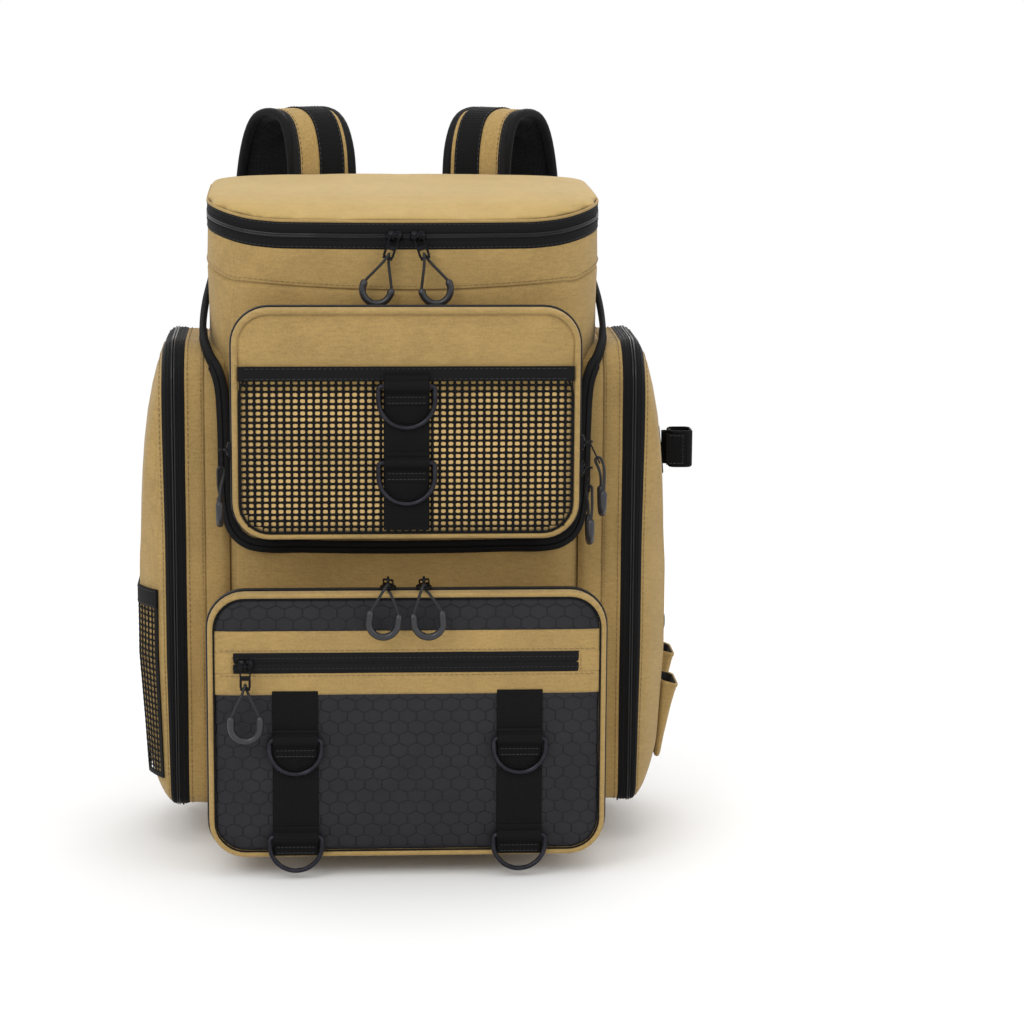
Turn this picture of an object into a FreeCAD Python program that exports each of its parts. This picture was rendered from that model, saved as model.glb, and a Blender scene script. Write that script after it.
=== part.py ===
import FreeCAD, Part
import math
import os

import Sketcher

# A fishing tackle backpack, in millimetres. +Z is up and -Y is the front. The origin is the
# middle of the main compartment's flat base. Soft pieces are plain closed solids of the right size.

Vector = FreeCAD.Vector
Rotation = FreeCAD.Rotation
Placement = FreeCAD.Placement
X_AXIS = Vector(1, 0, 0)
Y_AXIS = Vector(0, 1, 0)
Z_AXIS = Vector(0, 0, 1)

SIZES = {
    # main compartment: a D-shaped plan with a bowed front
    "body_width": 300, "body_front": 92, "body_back": 70, "corner_radius": 50, "bow_radius": 585,
    "shell_height": 469.5, "wall": 3, "zip_gap": 0.5, "tape_height": 10, "tape_thickness": 2.2,
    # lid
    "lid_base": 480, "lid_front_top": 491, "lid_back_top": 505,
    # back
    "back_thickness": 6, "back_width": 290, "back_bottom": 4, "back_top": 504.5, "back_radius": 22,
    "pad_inner": 22, "pad_outer": 128, "pad_bottom": 52, "pad_top": 425, "pad_thickness": 12,
    # upper front pocket
    "upper_width": 262, "upper_bottom": 254, "upper_top": 430, "upper_sag_top": 400,
    "upper_radius": 28, "gusset_back": 75, "upper_zip": 122, "upper_front": 131,
    "mesh_width": 244, "mesh_bottom": 262, "mesh_top": 386, "mesh_thickness": 1.5,
    # lower front pocket
    "lower_width": 300, "lower_bottom": 15, "lower_top": 220, "lower_radius": 28,
    "lower_zip": 152, "lower_front": 163,
    # side pockets
    "side_front": 75, "side_back": 65, "side_bottom": 31, "side_top": 394, "side_radius": 36,
    "side_inner": 128, "side_zip": 177, "side_mid": 196, "side_outer": 211,
    # webbing and rings
    "webbing_width": 35, "webbing_thickness": 2, "webbing_spread": 84.5, "lower_webbing_top": 144,
    "sleeve_radius": 3.6, "sleeve_bore": 2.15, "ring_wire": 1.8, "ring_offset": 4.3,
    "upper_ring_width": 46, "upper_ring_height": 35, "lower_ring_width": 43,
    "lower_ring_height": 30, "upper_ring_high": 372, "upper_ring_low": 314,
    "lower_ring_high": 108, "lower_ring_low": 32.5,
    # zip sliders and pulls
    "slider_length": 12, "slider_width": 8.5, "slider_height": 4.2, "slider_gap": 0.4,
    "bail_reach": 7.6, "bail_radius": 2.5, "bail_bore": 1.6, "bail_width": 2.6,
    "tab_width": 8.4, "tab_thickness": 1.2, "tab_length": 18,
    "cord_radius": 1.1, "grip_radius": 3, "grip_half_width": 10.8, "grip_leg": 7, "short_leg": 3,
    # shoulder straps, webbing and handle
    "strap_thickness": 10, "strap_width": 54, "strap_webbing_width": 25,
    "handle_radius": 5, "handle_half_width": 27, "handle_drop": 40, "handle_top": 474,
    "handle_depth": 84,
    # right side: rod loop, rod sleeves, webbing loops
    "loop_wall": 2.2, "loop_bottom": 287, "loop_height": 30,
}

doc = FreeCAD.newDocument("tackle_backpack")
sheet = doc.addObject("Spreadsheet::Sheet", "dims")
for row, (alias, value) in enumerate(SIZES.items(), start=1):
    sheet.set(f"A{row}", str(value))
    sheet.setAlias(f"A{row}", alias)
doc.recompute()


class Size:
    """A length, kept as its number and as the sheet expression that gives it."""

    def __init__(self, value, text=None):
        self.value = float(value)
        self.text = str(value) if text is None else text

    def join(self, sign, other):
        other = other if isinstance(other, Size) else Size(other)
        results = {"+": self.value + other.value, "-": self.value - other.value,
                   "*": self.value * other.value,
                   "/": self.value / other.value if other.value else 0}
        return Size(results[sign], f"({self.text} {sign} {other.text})")

    def __add__(self, other):
        return self.join("+", other)

    def __sub__(self, other):
        return self.join("-", other)

    def __mul__(self, other):
        return self.join("*", other)

    def __truediv__(self, other):
        return self.join("/", other)

    def __neg__(self):
        return Size(0).join("-", self)


def size(alias):
    return Size(sheet.get(alias), f"dims.{alias}")


def number(alias):
    return float(sheet.get(alias))


# ---------------------------------------------------------------- sketch and feature helpers

def new_body(name):
    body = doc.addObject("PartDesign::Body", name)
    body.Label = name
    return body


def new_sketch(body, role, offset):
    """A sketch on one of the body's own origin planes, moved along the plane's normal."""
    plane = [item for item in body.Origin.OriginFeatures if item.Role == role][0]
    sketch = body.newObject("Sketcher::SketchObject", "outline")
    sketch.AttachmentSupport = [(plane, "")]
    sketch.MapMode = "FlatFace"
    sketch.setExpression(".AttachmentOffset.Base.z", offset.text)
    return sketch


def bind(sketch, kind, *place, to):
    """Add a dimension and bind it to the sheet. A backwards distance has its points swapped."""
    if to.value < 0:
        place = place[2:] + place[:2]
        to = -to
    index = sketch.addConstraint(Sketcher.Constraint(kind, *place, to.value))
    sketch.setExpression(f"Constraints[{index}]", to.text)


def arc(centre_x, centre_y, radius, start, end):
    circle = Part.Circle(Vector(centre_x, centre_y, 0), Z_AXIS, radius)
    return Part.ArcOfCircle(circle, math.radians(start), math.radians(end))


def line(x1, y1, x2, y2):
    return Part.LineSegment(Vector(x1, y1, 0), Vector(x2, y2, 0))


def rounded_box(sketch, left, right, bottom, top, radius):
    """A rectangle with round corners, bound to five sizes."""
    x1, x2, y1, y2, r = left.value, right.value, bottom.value, top.value, radius.value
    first = sketch.GeometryCount
    sketch.addGeometry([
        line(x1 + r, y1, x2 - r, y1), arc(x2 - r, y1 + r, r, -90, 0),
        line(x2, y1 + r, x2, y2 - r), arc(x2 - r, y2 - r, r, 0, 90),
        line(x2 - r, y2, x1 + r, y2), arc(x1 + r, y2 - r, r, 90, 180),
        line(x1, y2 - r, x1, y1 + r), arc(x1 + r, y1 + r, r, 180, 270)], False)
    constraint = Sketcher.Constraint
    for index in range(8):
        sketch.addConstraint(constraint("Tangent", first + index, 2, first + (index + 1) % 8, 1))
    for index in (0, 4):
        sketch.addConstraint(constraint("Horizontal", first + index))
        sketch.addConstraint(constraint("Vertical", first + index + 2))
    for index in (3, 5, 7):
        sketch.addConstraint(constraint("Equal", first + 1, first + index))
    bind(sketch, "Radius", first + 1, to=radius)
    bind(sketch, "DistanceX", -1, 1, first + 6, 1, to=left)
    bind(sketch, "DistanceX", -1, 1, first + 2, 1, to=right)
    bind(sketch, "DistanceY", -1, 1, first, 1, to=bottom)
    bind(sketch, "DistanceY", -1, 1, first + 4, 1, to=top)


def body_outline(sketch, inset=Size(0)):
    """The main compartment's plan: flat back, straight sides, round front corners, bowed front."""
    half = size("body_width") / 2 - inset
    back = size("body_back") - inset
    corner = size("corner_radius") - inset
    bow = size("bow_radius") - inset
    bow_centre = size("bow_radius") - size("body_front")
    w, b, rc, rb, yb = half.value, back.value, corner.value, bow.value, bow_centre.value
    corner_y = yb - math.sqrt((rb - rc) ** 2 - (w - rc) ** 2)
    turn = math.degrees(math.atan2(w - rc, yb - corner_y))
    sketch.addGeometry([
        line(w, b, -w, b), line(-w, b, -w, corner_y),
        arc(rc - w, corner_y, rc, -180, -90 - turn), arc(0, yb, rb, -90 - turn, -90 + turn),
        arc(w - rc, corner_y, rc, -90 + turn, 0), line(w, corner_y, w, b)], False)
    constraint = Sketcher.Constraint
    sketch.addConstraint([
        constraint("Coincident", 5, 2, 0, 1), constraint("Coincident", 0, 2, 1, 1),
        constraint("Tangent", 1, 2, 2, 1), constraint("Tangent", 2, 2, 3, 1),
        constraint("Tangent", 3, 2, 4, 1), constraint("Tangent", 4, 2, 5, 1),
        constraint("Vertical", 1), constraint("Vertical", 5),
        constraint("Symmetric", 0, 1, 0, 2, -2), constraint("Equal", 2, 4)])
    bind(sketch, "Radius", 2, to=corner)
    bind(sketch, "Radius", 3, to=bow)
    bind(sketch, "DistanceX", 0, 2, 0, 1, to=half * 2)
    bind(sketch, "DistanceY", -1, 1, 0, 1, to=back)
    bind(sketch, "DistanceY", -1, 1, 3, 3, to=bow_centre)


def add_pad(body, sketch, length, backwards=False, midplane=False):
    pad = body.newObject("PartDesign::Pad", "pad")
    pad.Profile = sketch
    pad.setExpression("Length", length.text)
    pad.Reversed = backwards
    if midplane:
        pad.SideType = "Symmetric"
    doc.recompute()
    return pad


def add_pocket(body, sketch, length, backwards=False, midplane=False):
    """Cut, and stop if the cut takes nothing away."""
    before = body.Shape.Volume
    pocket = body.newObject("PartDesign::Pocket", "cut")
    pocket.Profile = sketch
    pocket.setExpression("Length", length.text)
    pocket.Reversed = backwards
    if midplane:
        pocket.SideType = "Symmetric"
    doc.recompute()
    if body.Shape.Volume > before - 1e-3:
        raise RuntimeError(f"a cut in {body.Label} takes nothing away")
    return pocket


def add_loft(body, kind, sketches):
    loft = body.newObject(f"PartDesign::{kind}Loft", "loft")
    loft.Profile = sketches[0]
    loft.Sections = sketches[1:]
    loft.Ruled = True
    doc.recompute()
    return loft


def cut_round_body(body):
    """Take the main compartment's outline out of a pocket, so that it fits the bowed front."""
    sketch = new_sketch(body, "XY_Plane", Size(0))
    body_outline(sketch)
    add_pocket(body, sketch, size("shell_height"), backwards=True)


def feature(name, shape):
    piece = doc.addObject("Part::Feature", name)
    piece.Label = name
    piece.Shape = shape
    return piece


def group(name, members):
    compound = doc.addObject("Part::Compound", name)
    compound.Label = name
    compound.Links = members
    return compound


def mirrored(source, name):
    mirror = doc.addObject("Part::Mirroring", name)
    mirror.Label = name
    mirror.Source = source
    mirror.Normal = X_AXIS
    return mirror


# ---------------------------------------------------------------- wires, tubes and ribbons

def rounded_path(points, share=0.45):
    """Straight runs joined by tangent arcs, each as large as its two runs allow."""
    edges = []
    start = points[0]
    radii = []
    for before, corner, after in zip(points, points[1:], points[2:]):
        run_in, run_out = corner - before, after - corner
        half_turn = run_in.getAngle(run_out) / 2
        back_off = share * min(run_in.Length, run_out.Length)
        radii.append(back_off / math.tan(half_turn))
        arc_start = corner - run_in.normalize() * back_off
        arc_end = corner + run_out.normalize() * back_off
        to_middle = ((arc_start + arc_end) * 0.5 - corner).normalize()
        arc_middle = corner + to_middle * (radii[-1] / math.cos(half_turn) - radii[-1])
        edges.append(Part.LineSegment(start, arc_start).toShape())
        edges.append(Part.Arc(arc_start, arc_middle, arc_end).toShape())
        start = arc_end
    edges.append(Part.LineSegment(start, points[-1]).toShape())
    return Part.Wire(edges), radii


def tube(path, radius):
    """A round tube along a path; its volume is compared with section times length."""
    edge = path.OrderedEdges[0]
    start = edge.valueAt(edge.FirstParameter)
    section = Part.Wire(Part.makeCircle(radius, start, edge.tangentAt(edge.FirstParameter)))
    solid = path.makePipeShell([section], True, False)
    expected = math.pi * radius ** 2 * path.Length
    if abs(solid.Volume / expected - 1) > 0.01:
        raise RuntimeError(f"tube volume {solid.Volume:.1f}, expected {expected:.1f}")
    return solid


def ribbon(points, across, width, thickness):
    """A flat strap through points; across gives its width direction at each of them."""
    sections = []
    for index, (point, sideways) in enumerate(zip(points, across)):
        ahead = points[min(index + 1, len(points) - 1)] - points[max(index - 1, 0)]
        half_width = Vector(sideways).normalize() * (width / 2)
        half_depth = ahead.cross(half_width).normalize() * (thickness / 2)
        corners = [point - half_width - half_depth, point + half_width - half_depth,
                   point + half_width + half_depth, point - half_width + half_depth]
        sections.append(Part.makePolygon(corners + corners[:1]))
    return Part.makeLoft(sections, True, True)


# ---------------------------------------------------------------- main compartment and lid

def make_main_shell():
    body = new_body("main_shell")
    outer = new_sketch(body, "XY_Plane", Size(0))
    body_outline(outer)
    add_pad(body, outer, size("shell_height"))
    inner = new_sketch(body, "XY_Plane", size("shell_height"))
    body_outline(inner, size("wall"))
    add_pocket(body, inner, size("shell_height") - size("wall"))
    return body


def make_tape_ring(name, base):
    """Half of the lid's zip tape: a band that follows the compartment's outline."""
    body = new_body(name)
    outer = new_sketch(body, "XY_Plane", base)
    body_outline(outer)
    add_pad(body, outer, size("tape_height"))
    inner = new_sketch(body, "XY_Plane", base + size("tape_height"))
    body_outline(inner, size("tape_thickness"))
    add_pocket(body, inner, size("tape_height"))
    return body


def make_lid():
    """The lid: a slab that rises from its front edge to its back edge, inside its zip tape."""
    tape = make_tape_ring("lid_zip_tape", size("lid_base"))
    back = new_sketch(tape, "XY_Plane", size("lid_base") + size("tape_height"))
    rounded_box(back, -size("body_width"), size("body_width"),
                size("body_back") - size("tape_thickness") * 2, size("body_back") * 2, Size(1))
    add_pocket(tape, back, size("tape_height"))

    panel = new_body("lid_panel")
    outline = new_sketch(panel, "XY_Plane", size("lid_base") + size("tape_thickness"))
    body_outline(outline, size("tape_thickness"))
    add_pad(panel, outline, size("lid_back_top") - size("lid_base") - size("tape_thickness"))
    slope = new_sketch(panel, "YZ_Plane", Size(0))
    front, back, low, high = (-number("body_front"), number("body_back"),
                              number("lid_front_top"), number("lid_back_top"))
    slope.addGeometry([line(front, low, back, high), line(back, high, front, high),
                       line(front, high, front, low)], False)
    constraint = Sketcher.Constraint
    slope.addConstraint([constraint("Coincident", 0, 2, 1, 1), constraint("Coincident", 1, 2, 2, 1),
                         constraint("Coincident", 2, 2, 0, 1), constraint("Horizontal", 1),
                         constraint("Vertical", 2)])
    bind(slope, "DistanceX", -1, 1, 0, 1, to=-size("body_front"))
    bind(slope, "DistanceX", -1, 1, 0, 2, to=size("body_back"))
    bind(slope, "DistanceY", -1, 1, 0, 1, to=size("lid_front_top"))
    bind(slope, "DistanceY", -1, 1, 0, 2, to=size("lid_back_top"))
    add_pocket(panel, slope, size("body_width") + 10, midplane=True)
    return [tape, panel]


def make_back():
    panel = new_body("back_panel")
    outline = new_sketch(panel, "XZ_Plane", -size("body_back"))
    rounded_box(outline, -size("back_width") / 2, size("back_width") / 2, size("back_bottom"),
                size("back_top"), size("back_radius"))
    add_pad(panel, outline, size("back_thickness"), backwards=True)

    pad = new_body("left_back_pad")
    outline = new_sketch(pad, "XZ_Plane", -size("body_back") - size("back_thickness"))
    rounded_box(outline, -size("pad_outer"), -size("pad_inner"), size("pad_bottom"),
                size("pad_top"), size("back_radius"))
    add_pad(pad, outline, size("pad_thickness"), backwards=True)
    return [panel, group("back_pads", [pad, mirrored(pad, "right_back_pad")])]


# ---------------------------------------------------------------- front pockets

def front_ring(name, width, bottom, tops, depths, radius):
    """A pocket's side wall: a lofted ring from the body to the zip, fitted to the bowed front."""
    body = new_body(name)
    wall = size("wall")
    for kind, inset in (("Additive", Size(0)), ("Subtractive", wall)):
        sections = []
        for top, depth in zip(tops, depths):
            outline = new_sketch(body, "XZ_Plane", depth)
            rounded_box(outline, -width / 2 + inset, width / 2 - inset, bottom + inset,
                        top - inset, radius - inset)
            sections.append(outline)
        add_loft(body, kind, sections)
    cut_round_body(body)
    return body


def front_tray(name, width, bottom, top, radius, zip_depth, front):
    """A pocket's front panel with a shallow rim that meets the zip."""
    body = new_body(name)
    wall = size("wall")
    outer = new_sketch(body, "XZ_Plane", zip_depth)
    rounded_box(outer, -width / 2, width / 2, bottom, top, radius)
    add_pad(body, outer, front - zip_depth)
    inner = new_sketch(body, "XZ_Plane", zip_depth)
    rounded_box(inner, -width / 2 + wall, width / 2 - wall, bottom + wall, top - wall,
                radius - wall)
    add_pocket(body, inner, front - zip_depth - wall, backwards=True)
    return body


def make_webbing(name, centre, bottom, top, surface, bars):
    """A flat webbing strip on a pocket's front, with a sewn loop around each ring's bar."""
    body = new_body(name)
    half = size("webbing_width") / 2
    strip = new_sketch(body, "XZ_Plane", surface)
    rounded_box(strip, centre - half, centre + half, bottom, top, Size(1))
    add_pad(body, strip, size("webbing_thickness"))
    bar_depth = surface + size("ring_offset")
    for radius, cut in (("sleeve_radius", False), ("sleeve_bore", True)):
        for bar in bars:
            loop = new_sketch(body, "YZ_Plane", centre)
            loop.addGeometry(Part.Circle(Vector(-bar_depth.value, bar.value, 0), Z_AXIS,
                                         number(radius)), False)
            bind(loop, "Radius", 0, to=size(radius))
            bind(loop, "DistanceX", -1, 1, 0, 3, to=-bar_depth)
            bind(loop, "DistanceY", -1, 1, 0, 3, to=bar)
            if cut:
                add_pocket(body, loop, size("webbing_width") + 2, midplane=True)
            else:
                add_pad(body, loop, size("webbing_width"), midplane=True)
    return body


def make_ring(name, centre, bar, surface, width, height):
    """A D-ring: one round wire, with its straight bar on top and its bow hanging below."""
    body = new_body(name)
    wire = size("ring_wire")
    reach = (width / 2 - wire).value
    drop = (height - wire * 2).value
    corner = 3.0
    body.Placement = Placement(Vector(centre.value, -(surface + size("ring_offset")).value,
                                      bar.value), Rotation())
    path = new_sketch(body, "XZ_Plane", Size(0))
    path.addGeometry([
        line(corner - reach, 0, reach - corner, 0), arc(reach - corner, -corner, corner, 0, 90),
        line(reach, -corner, reach, reach - drop), arc(0, reach - drop, reach, -180, 0),
        line(-reach, reach - drop, -reach, -corner),
        arc(corner - reach, -corner, corner, 90, 180)], False)
    section = new_sketch(body, "YZ_Plane", Size(0))
    section.addGeometry(Part.Circle(Vector(0, 0, 0), Z_AXIS, wire.value), False)
    section.addConstraint(Sketcher.Constraint("Coincident", 0, 3, -1, 1))
    bind(section, "Radius", 0, to=wire)
    pipe = body.newObject("PartDesign::AdditivePipe", "bent_wire")
    pipe.Profile = section
    pipe.Spine = path
    doc.recompute()
    return body


def make_upper_pocket():
    width, bottom, top = size("upper_width"), size("upper_bottom"), size("upper_top")
    gusset = front_ring("upper_pocket_gusset", width, bottom, [size("upper_sag_top"), top],
                        [size("gusset_back"), size("upper_zip") - size("zip_gap")],
                        size("upper_radius"))
    panel = front_tray("upper_panel", width, bottom, top, size("upper_radius"),
                       size("upper_zip"), size("upper_front"))
    mesh = new_body("upper_mesh_pocket")
    outline = new_sketch(mesh, "XZ_Plane", size("upper_front"))
    rounded_box(outline, -size("mesh_width") / 2, size("mesh_width") / 2, size("mesh_bottom"),
                size("mesh_top"), Size(20))
    add_pad(mesh, outline, size("mesh_thickness"))
    surface = size("upper_front") + size("mesh_thickness")
    bars = [size("upper_ring_high"), size("upper_ring_low")]
    webbing = make_webbing("upper_webbing", Size(0), size("mesh_bottom"), size("mesh_top"),
                           surface, bars)
    rings = [make_ring(f"upper_ring_{place}", Size(0), bar, surface, size("upper_ring_width"),
                       size("upper_ring_height")) for place, bar in zip(("high", "low"), bars)]
    return [gusset, panel, mesh, webbing] + rings


def make_lower_pocket():
    width, bottom, top = size("lower_width"), size("lower_bottom"), size("lower_top")
    gusset = front_ring("lower_pocket_gusset", width, bottom, [top, top],
                        [size("gusset_back"), size("lower_zip") - size("zip_gap")],
                        size("lower_radius"))
    panel = front_tray("lower_panel", width, bottom, top, size("lower_radius"),
                       size("lower_zip"), size("lower_front"))
    surface = size("lower_front")
    bars = [size("lower_ring_high"), size("lower_ring_low")]
    spread = size("webbing_spread")
    strip = make_webbing("left_lower_webbing", -spread, bottom + 1, size("lower_webbing_top"),
                         surface, bars)
    pieces = [gusset, panel, group("lower_webbing", [strip, mirrored(strip, "right_lower_webbing")])]
    for side, centre in (("left", -spread), ("right", spread)):
        for place, bar in zip(("high", "low"), bars):
            pieces.append(make_ring(f"lower_ring_{side}_{place}", centre, bar, surface,
                                    size("lower_ring_width"), size("lower_ring_height")))
    return pieces


# ---------------------------------------------------------------- side pockets

def side_outline(body, depth, inset_y, low, high, inset=Size(0)):
    """A side pocket's outline at a distance from the middle plane; depth is negative on the left."""
    outline = new_sketch(body, "YZ_Plane", depth)
    rounded_box(outline, -size("side_front") + inset_y + inset, size("side_back") - inset_y - inset,
                low + inset, high - inset, size("side_radius") - inset_y / 2 - inset)
    return outline


def make_side_shell():
    """The fixed half of the left side pocket: a tray that wraps the body's front corner."""
    body = new_body("left_pocket_shell")
    low, high, wall = size("side_bottom"), size("side_top"), size("wall")
    outer = side_outline(body, -size("side_inner"), Size(0), low, high)
    reach = size("side_zip") - size("side_inner") - size("zip_gap")
    add_pad(body, outer, reach, backwards=True)
    inner = side_outline(body, -size("side_inner"), Size(0), low, high, wall)
    add_pocket(body, inner, reach)
    cut_round_body(body)
    return body


def make_side_panel():
    """The left side pocket's outer panel: a shallow cup that opens like a door."""
    body = new_body("left_panel")
    low, high, wall = size("side_bottom"), size("side_top"), size("wall")
    for kind, inset in (("Additive", Size(0)), ("Subtractive", wall)):
        add_loft(body, kind, [
            side_outline(body, -size("side_zip"), Size(0), low, high, inset),
            side_outline(body, -size("side_mid") + inset, Size(8), low + 7, high - 42, inset),
            side_outline(body, -size("side_outer") + inset, Size(28), low + 26, high - 162, inset)])
    return body


def make_left_mesh():
    """The flat mesh pocket on the left panel's lower half."""
    body = new_body("left_mesh_pocket")
    outline = new_sketch(body, "YZ_Plane", -size("side_outer"))
    rounded_box(outline, Size(-44), Size(34), Size(60), Size(203), Size(8))
    add_pad(body, outline, size("mesh_thickness"), backwards=True)
    return body


def make_rod_sleeves():
    """Two tapering open-topped sleeves for rod butts, low on the right panel."""
    sleeves = []
    inner_face = size("side_outer")
    wall = size("loop_wall")
    for name, front, back, top in (("front_sleeve", -44, -6, 122), ("rear_sleeve", -2, 34, 137)):
        body = new_body(name)
        for kind, inset in (("Additive", Size(0)), ("Subtractive", wall)):
            sections = []
            for height, reach in ((Size(60) + inset, Size(9)), (Size(top), Size(18.5))):
                outline = new_sketch(body, "XY_Plane", height)
                rounded_box(outline, inner_face + inset, inner_face + reach - inset,
                            Size(front) + inset, Size(back) - inset, Size(3.5) - inset)
                sections.append(outline)
            add_loft(body, kind, sections)
        sleeves.append(body)
    return group("rod_sleeves", sleeves)


def make_side_loops():
    """Two small webbing loops on the right panel, each open from front to back."""
    loops = []
    for name, low, high, middle in (("upper_loop", 176, 202, 22), ("lower_loop", 148, 174, 2)):
        body = new_body(name)
        outer = new_sketch(body, "XZ_Plane", Size(-middle))
        left, right = size("side_outer"), size("side_outer") + 6
        rounded_box(outer, left, right, Size(low), Size(high), Size(2.5))
        rounded_box(outer, left + 1.5, right - 1.5, Size(low + 2), Size(high - 2), Size(1))
        add_pad(body, outer, Size(16), midplane=True)
        loops.append(body)
    return group("side_loops", loops)


def make_rod_strap():
    """The rod keeper: a webbing loop that a rod passes up through, on a short sewn stub."""
    body = new_body("rod_strap")
    wall = size("loop_wall")
    ring = new_sketch(body, "XY_Plane", size("loop_bottom"))
    rounded_box(ring, Size(211), Size(231), Size(-12), Size(12), Size(4))
    rounded_box(ring, Size(211) + wall, Size(231) - wall, Size(-12) + wall, Size(12) - wall,
                Size(4) - wall)
    add_pad(body, ring, size("loop_height"))
    stub = new_sketch(body, "XY_Plane", size("loop_bottom"))
    rounded_box(stub, Size(207), Size(212), Size(-3), Size(3), Size(1))
    add_pad(body, stub, size("loop_height"))
    return body


# ---------------------------------------------------------------- zip sliders and pulls

def make_slider(name, place, along_z=False, bail_turn=0):
    """A slider on a face that looks to -Y: its body, and the bail that the pull hangs from."""
    body = new_body(name)
    half_length, half_width = size("slider_length") / 2, size("slider_width") / 2
    if along_z:
        half_length, half_width = half_width, half_length
    plate = new_sketch(body, "XZ_Plane", size("slider_gap"))
    rounded_box(plate, -half_length, half_length, -half_width, half_width, Size(2.5))
    add_pad(body, plate, size("slider_height"))
    bail = new_sketch(body, "YZ_Plane", Size(0))
    reach, radius = number("bail_reach"), number("bail_radius")
    root = number("slider_height")
    bail.addGeometry([arc(-reach, 0, radius, 90, 270), line(-reach, -radius, -root, -radius),
                      line(-root, -radius, -root, radius), line(-root, radius, -reach, radius),
                      Part.Circle(Vector(-reach, 0, 0), Z_AXIS, number("bail_bore"))], False)
    bind(bail, "Radius", 4, to=size("bail_bore"))
    add_pad(body, bail, size("bail_width"), midplane=True)
    body.Placement = place
    return body


def make_tab(name, tilt):
    """A metal tab that hangs from the bail: a plate with one window for the bail, one for the cord."""
    body = new_body(name)
    plate = new_sketch(body, "XZ_Plane", -size("tab_thickness") / 2)
    half = size("tab_width") / 2
    rounded_box(plate, -half, half, -size("tab_length"), Size(0.9), Size(1.5))
    rounded_box(plate, Size(-3), Size(3), Size(-7), Size(-0.9), Size(0.5))
    rounded_box(plate, Size(-2.4), Size(2.4), Size(-15.4), Size(-10.6), Size(0.8))
    add_pad(body, plate, size("tab_thickness"))
    body.Placement = Placement(Vector(0, 0, 0), Rotation(X_AXIS, -tilt))
    return body


def pull_frame(tilt):
    """Along the tab, and square to it, for a tab that leans out by a tilt in degrees."""
    lean = math.radians(tilt)
    return (Vector(0, -math.sin(lean), -math.cos(lean)),
            Vector(0, -math.cos(lean), math.sin(lean)))


def pull_cord_points(tilt):
    """The cord loop's route, by hand: up from one end of the grip, through the tab, down again."""
    along, out = pull_frame(tilt)
    half = number("grip_half_width")
    tab_end = along * 21
    bend = along * 13.6
    foot = Vector(0, tab_end.y - 0.8, tab_end.z - 18)
    return [foot + Vector(-half, 0, 0),
            (foot + tab_end) * 0.5 + Vector(-half * 0.62, -1.0, 0) + out * 0.8,
            tab_end + Vector(-2.2, 0, 0) + out * 2.2,
            bend + out * 2.5,
            bend - out * 2.5,
            tab_end + Vector(2.2, 0, 0) - out * 2.2,
            (foot + tab_end) * 0.5 + Vector(half * 0.62, -1.0, 0) - out * 0.8,
            foot + Vector(half, 0, 0)]


def make_pull(name, place, tilt, leg_length="grip_leg"):
    """A pull: its tab and U-shaped grip in one node, its cord in another."""
    points = pull_cord_points(tilt)
    path, radii = rounded_path(points)
    print(name, "cord radii", [round(radius, 1) for radius in radii],
          "length", round(path.Length, 1))
    cord = feature(name + "_cord", tube(path, number("cord_radius")))
    leg = Vector(0, 0, -number(leg_length))
    bottom = Vector(0, points[0].y, points[0].z) + leg - Vector(0, 0, number("grip_half_width"))
    edges = [Part.LineSegment(points[0], points[0] + leg).toShape(),
             Part.Arc(points[0] + leg, bottom, points[-1] + leg).toShape(),
             Part.LineSegment(points[-1] + leg, points[-1]).toShape()]
    grip = feature(name + "_grip", tube(Part.Wire(edges), number("grip_radius")))
    node = group(name + "_pull", [make_tab(name + "_tab", tilt), grip])
    node.Placement = place
    cord.Placement = place
    return [node, cord]


def turned(x, y, z, rotation=None):
    return Placement(Vector(x, y, z), rotation or Rotation())


def bow_depth(x):
    """How far in front of the middle the bowed front stands, at a distance from the centre line."""
    bow = number("bow_radius")
    return number("body_front") - bow + math.sqrt(bow ** 2 - x ** 2)


def make_front_zip_sets():
    """Sliders on faces that look forward: two on the lid's zip, one on the small pocket's."""
    reach = number("bail_reach")
    pieces = []
    for name, x, splay in (("lid_left", -8, 19), ("lid_right", 9.5, -19)):
        depth = bow_depth(x)
        pieces.append(make_slider(name + "_slider", turned(x, -depth, 480)))
        pieces += make_pull(name, turned(x, -depth - reach, 480, Rotation(Y_AXIS, splay)), 3,
                            "short_leg")
    front = number("lower_front")
    pieces.append(make_slider("small_zip_slider", turned(-121.5, -front, 166)))
    pieces += make_pull("small_zip", turned(-121.5, -front - reach, 166), 14)
    return pieces


def make_lower_zip_sets():
    """Two sliders on top of the lower pocket, whose pulls hang over its front edge."""
    reach = number("bail_reach")
    face_up = Rotation(X_AXIS, -90)
    top = number("lower_top")
    depth = number("lower_zip")
    pieces = []
    for name, x, splay in (("lower_left", -14.4, 8), ("lower_right", 12.4, -6)):
        pieces.append(make_slider(name + "_slider", turned(x, -depth, top, face_up)))
        pieces += make_pull(name, turned(x, -depth, top + reach, Rotation(Y_AXIS, splay)), 80)
    return pieces


def make_upper_zip_sets():
    """Sliders on the upper pocket's sides, one on the left and two on the right."""
    reach = number("bail_reach")
    side = number("upper_width") / 2
    depth = number("upper_zip")
    pieces = []
    for name, hand, height, tilt in (("upper_left", -1, 322, 3), ("upper_right", 1, 327, 26),
                                     ("upper_spare", 1, 307, 0)):
        facing = Rotation(Z_AXIS, 90 * hand)
        pieces.append(make_slider(name + "_slider", turned(hand * side, -depth, height, facing),
                                  along_z=True))
        pieces += make_pull(name, turned(hand * (side + reach), -depth, height, facing), tilt)
    return pieces


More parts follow.
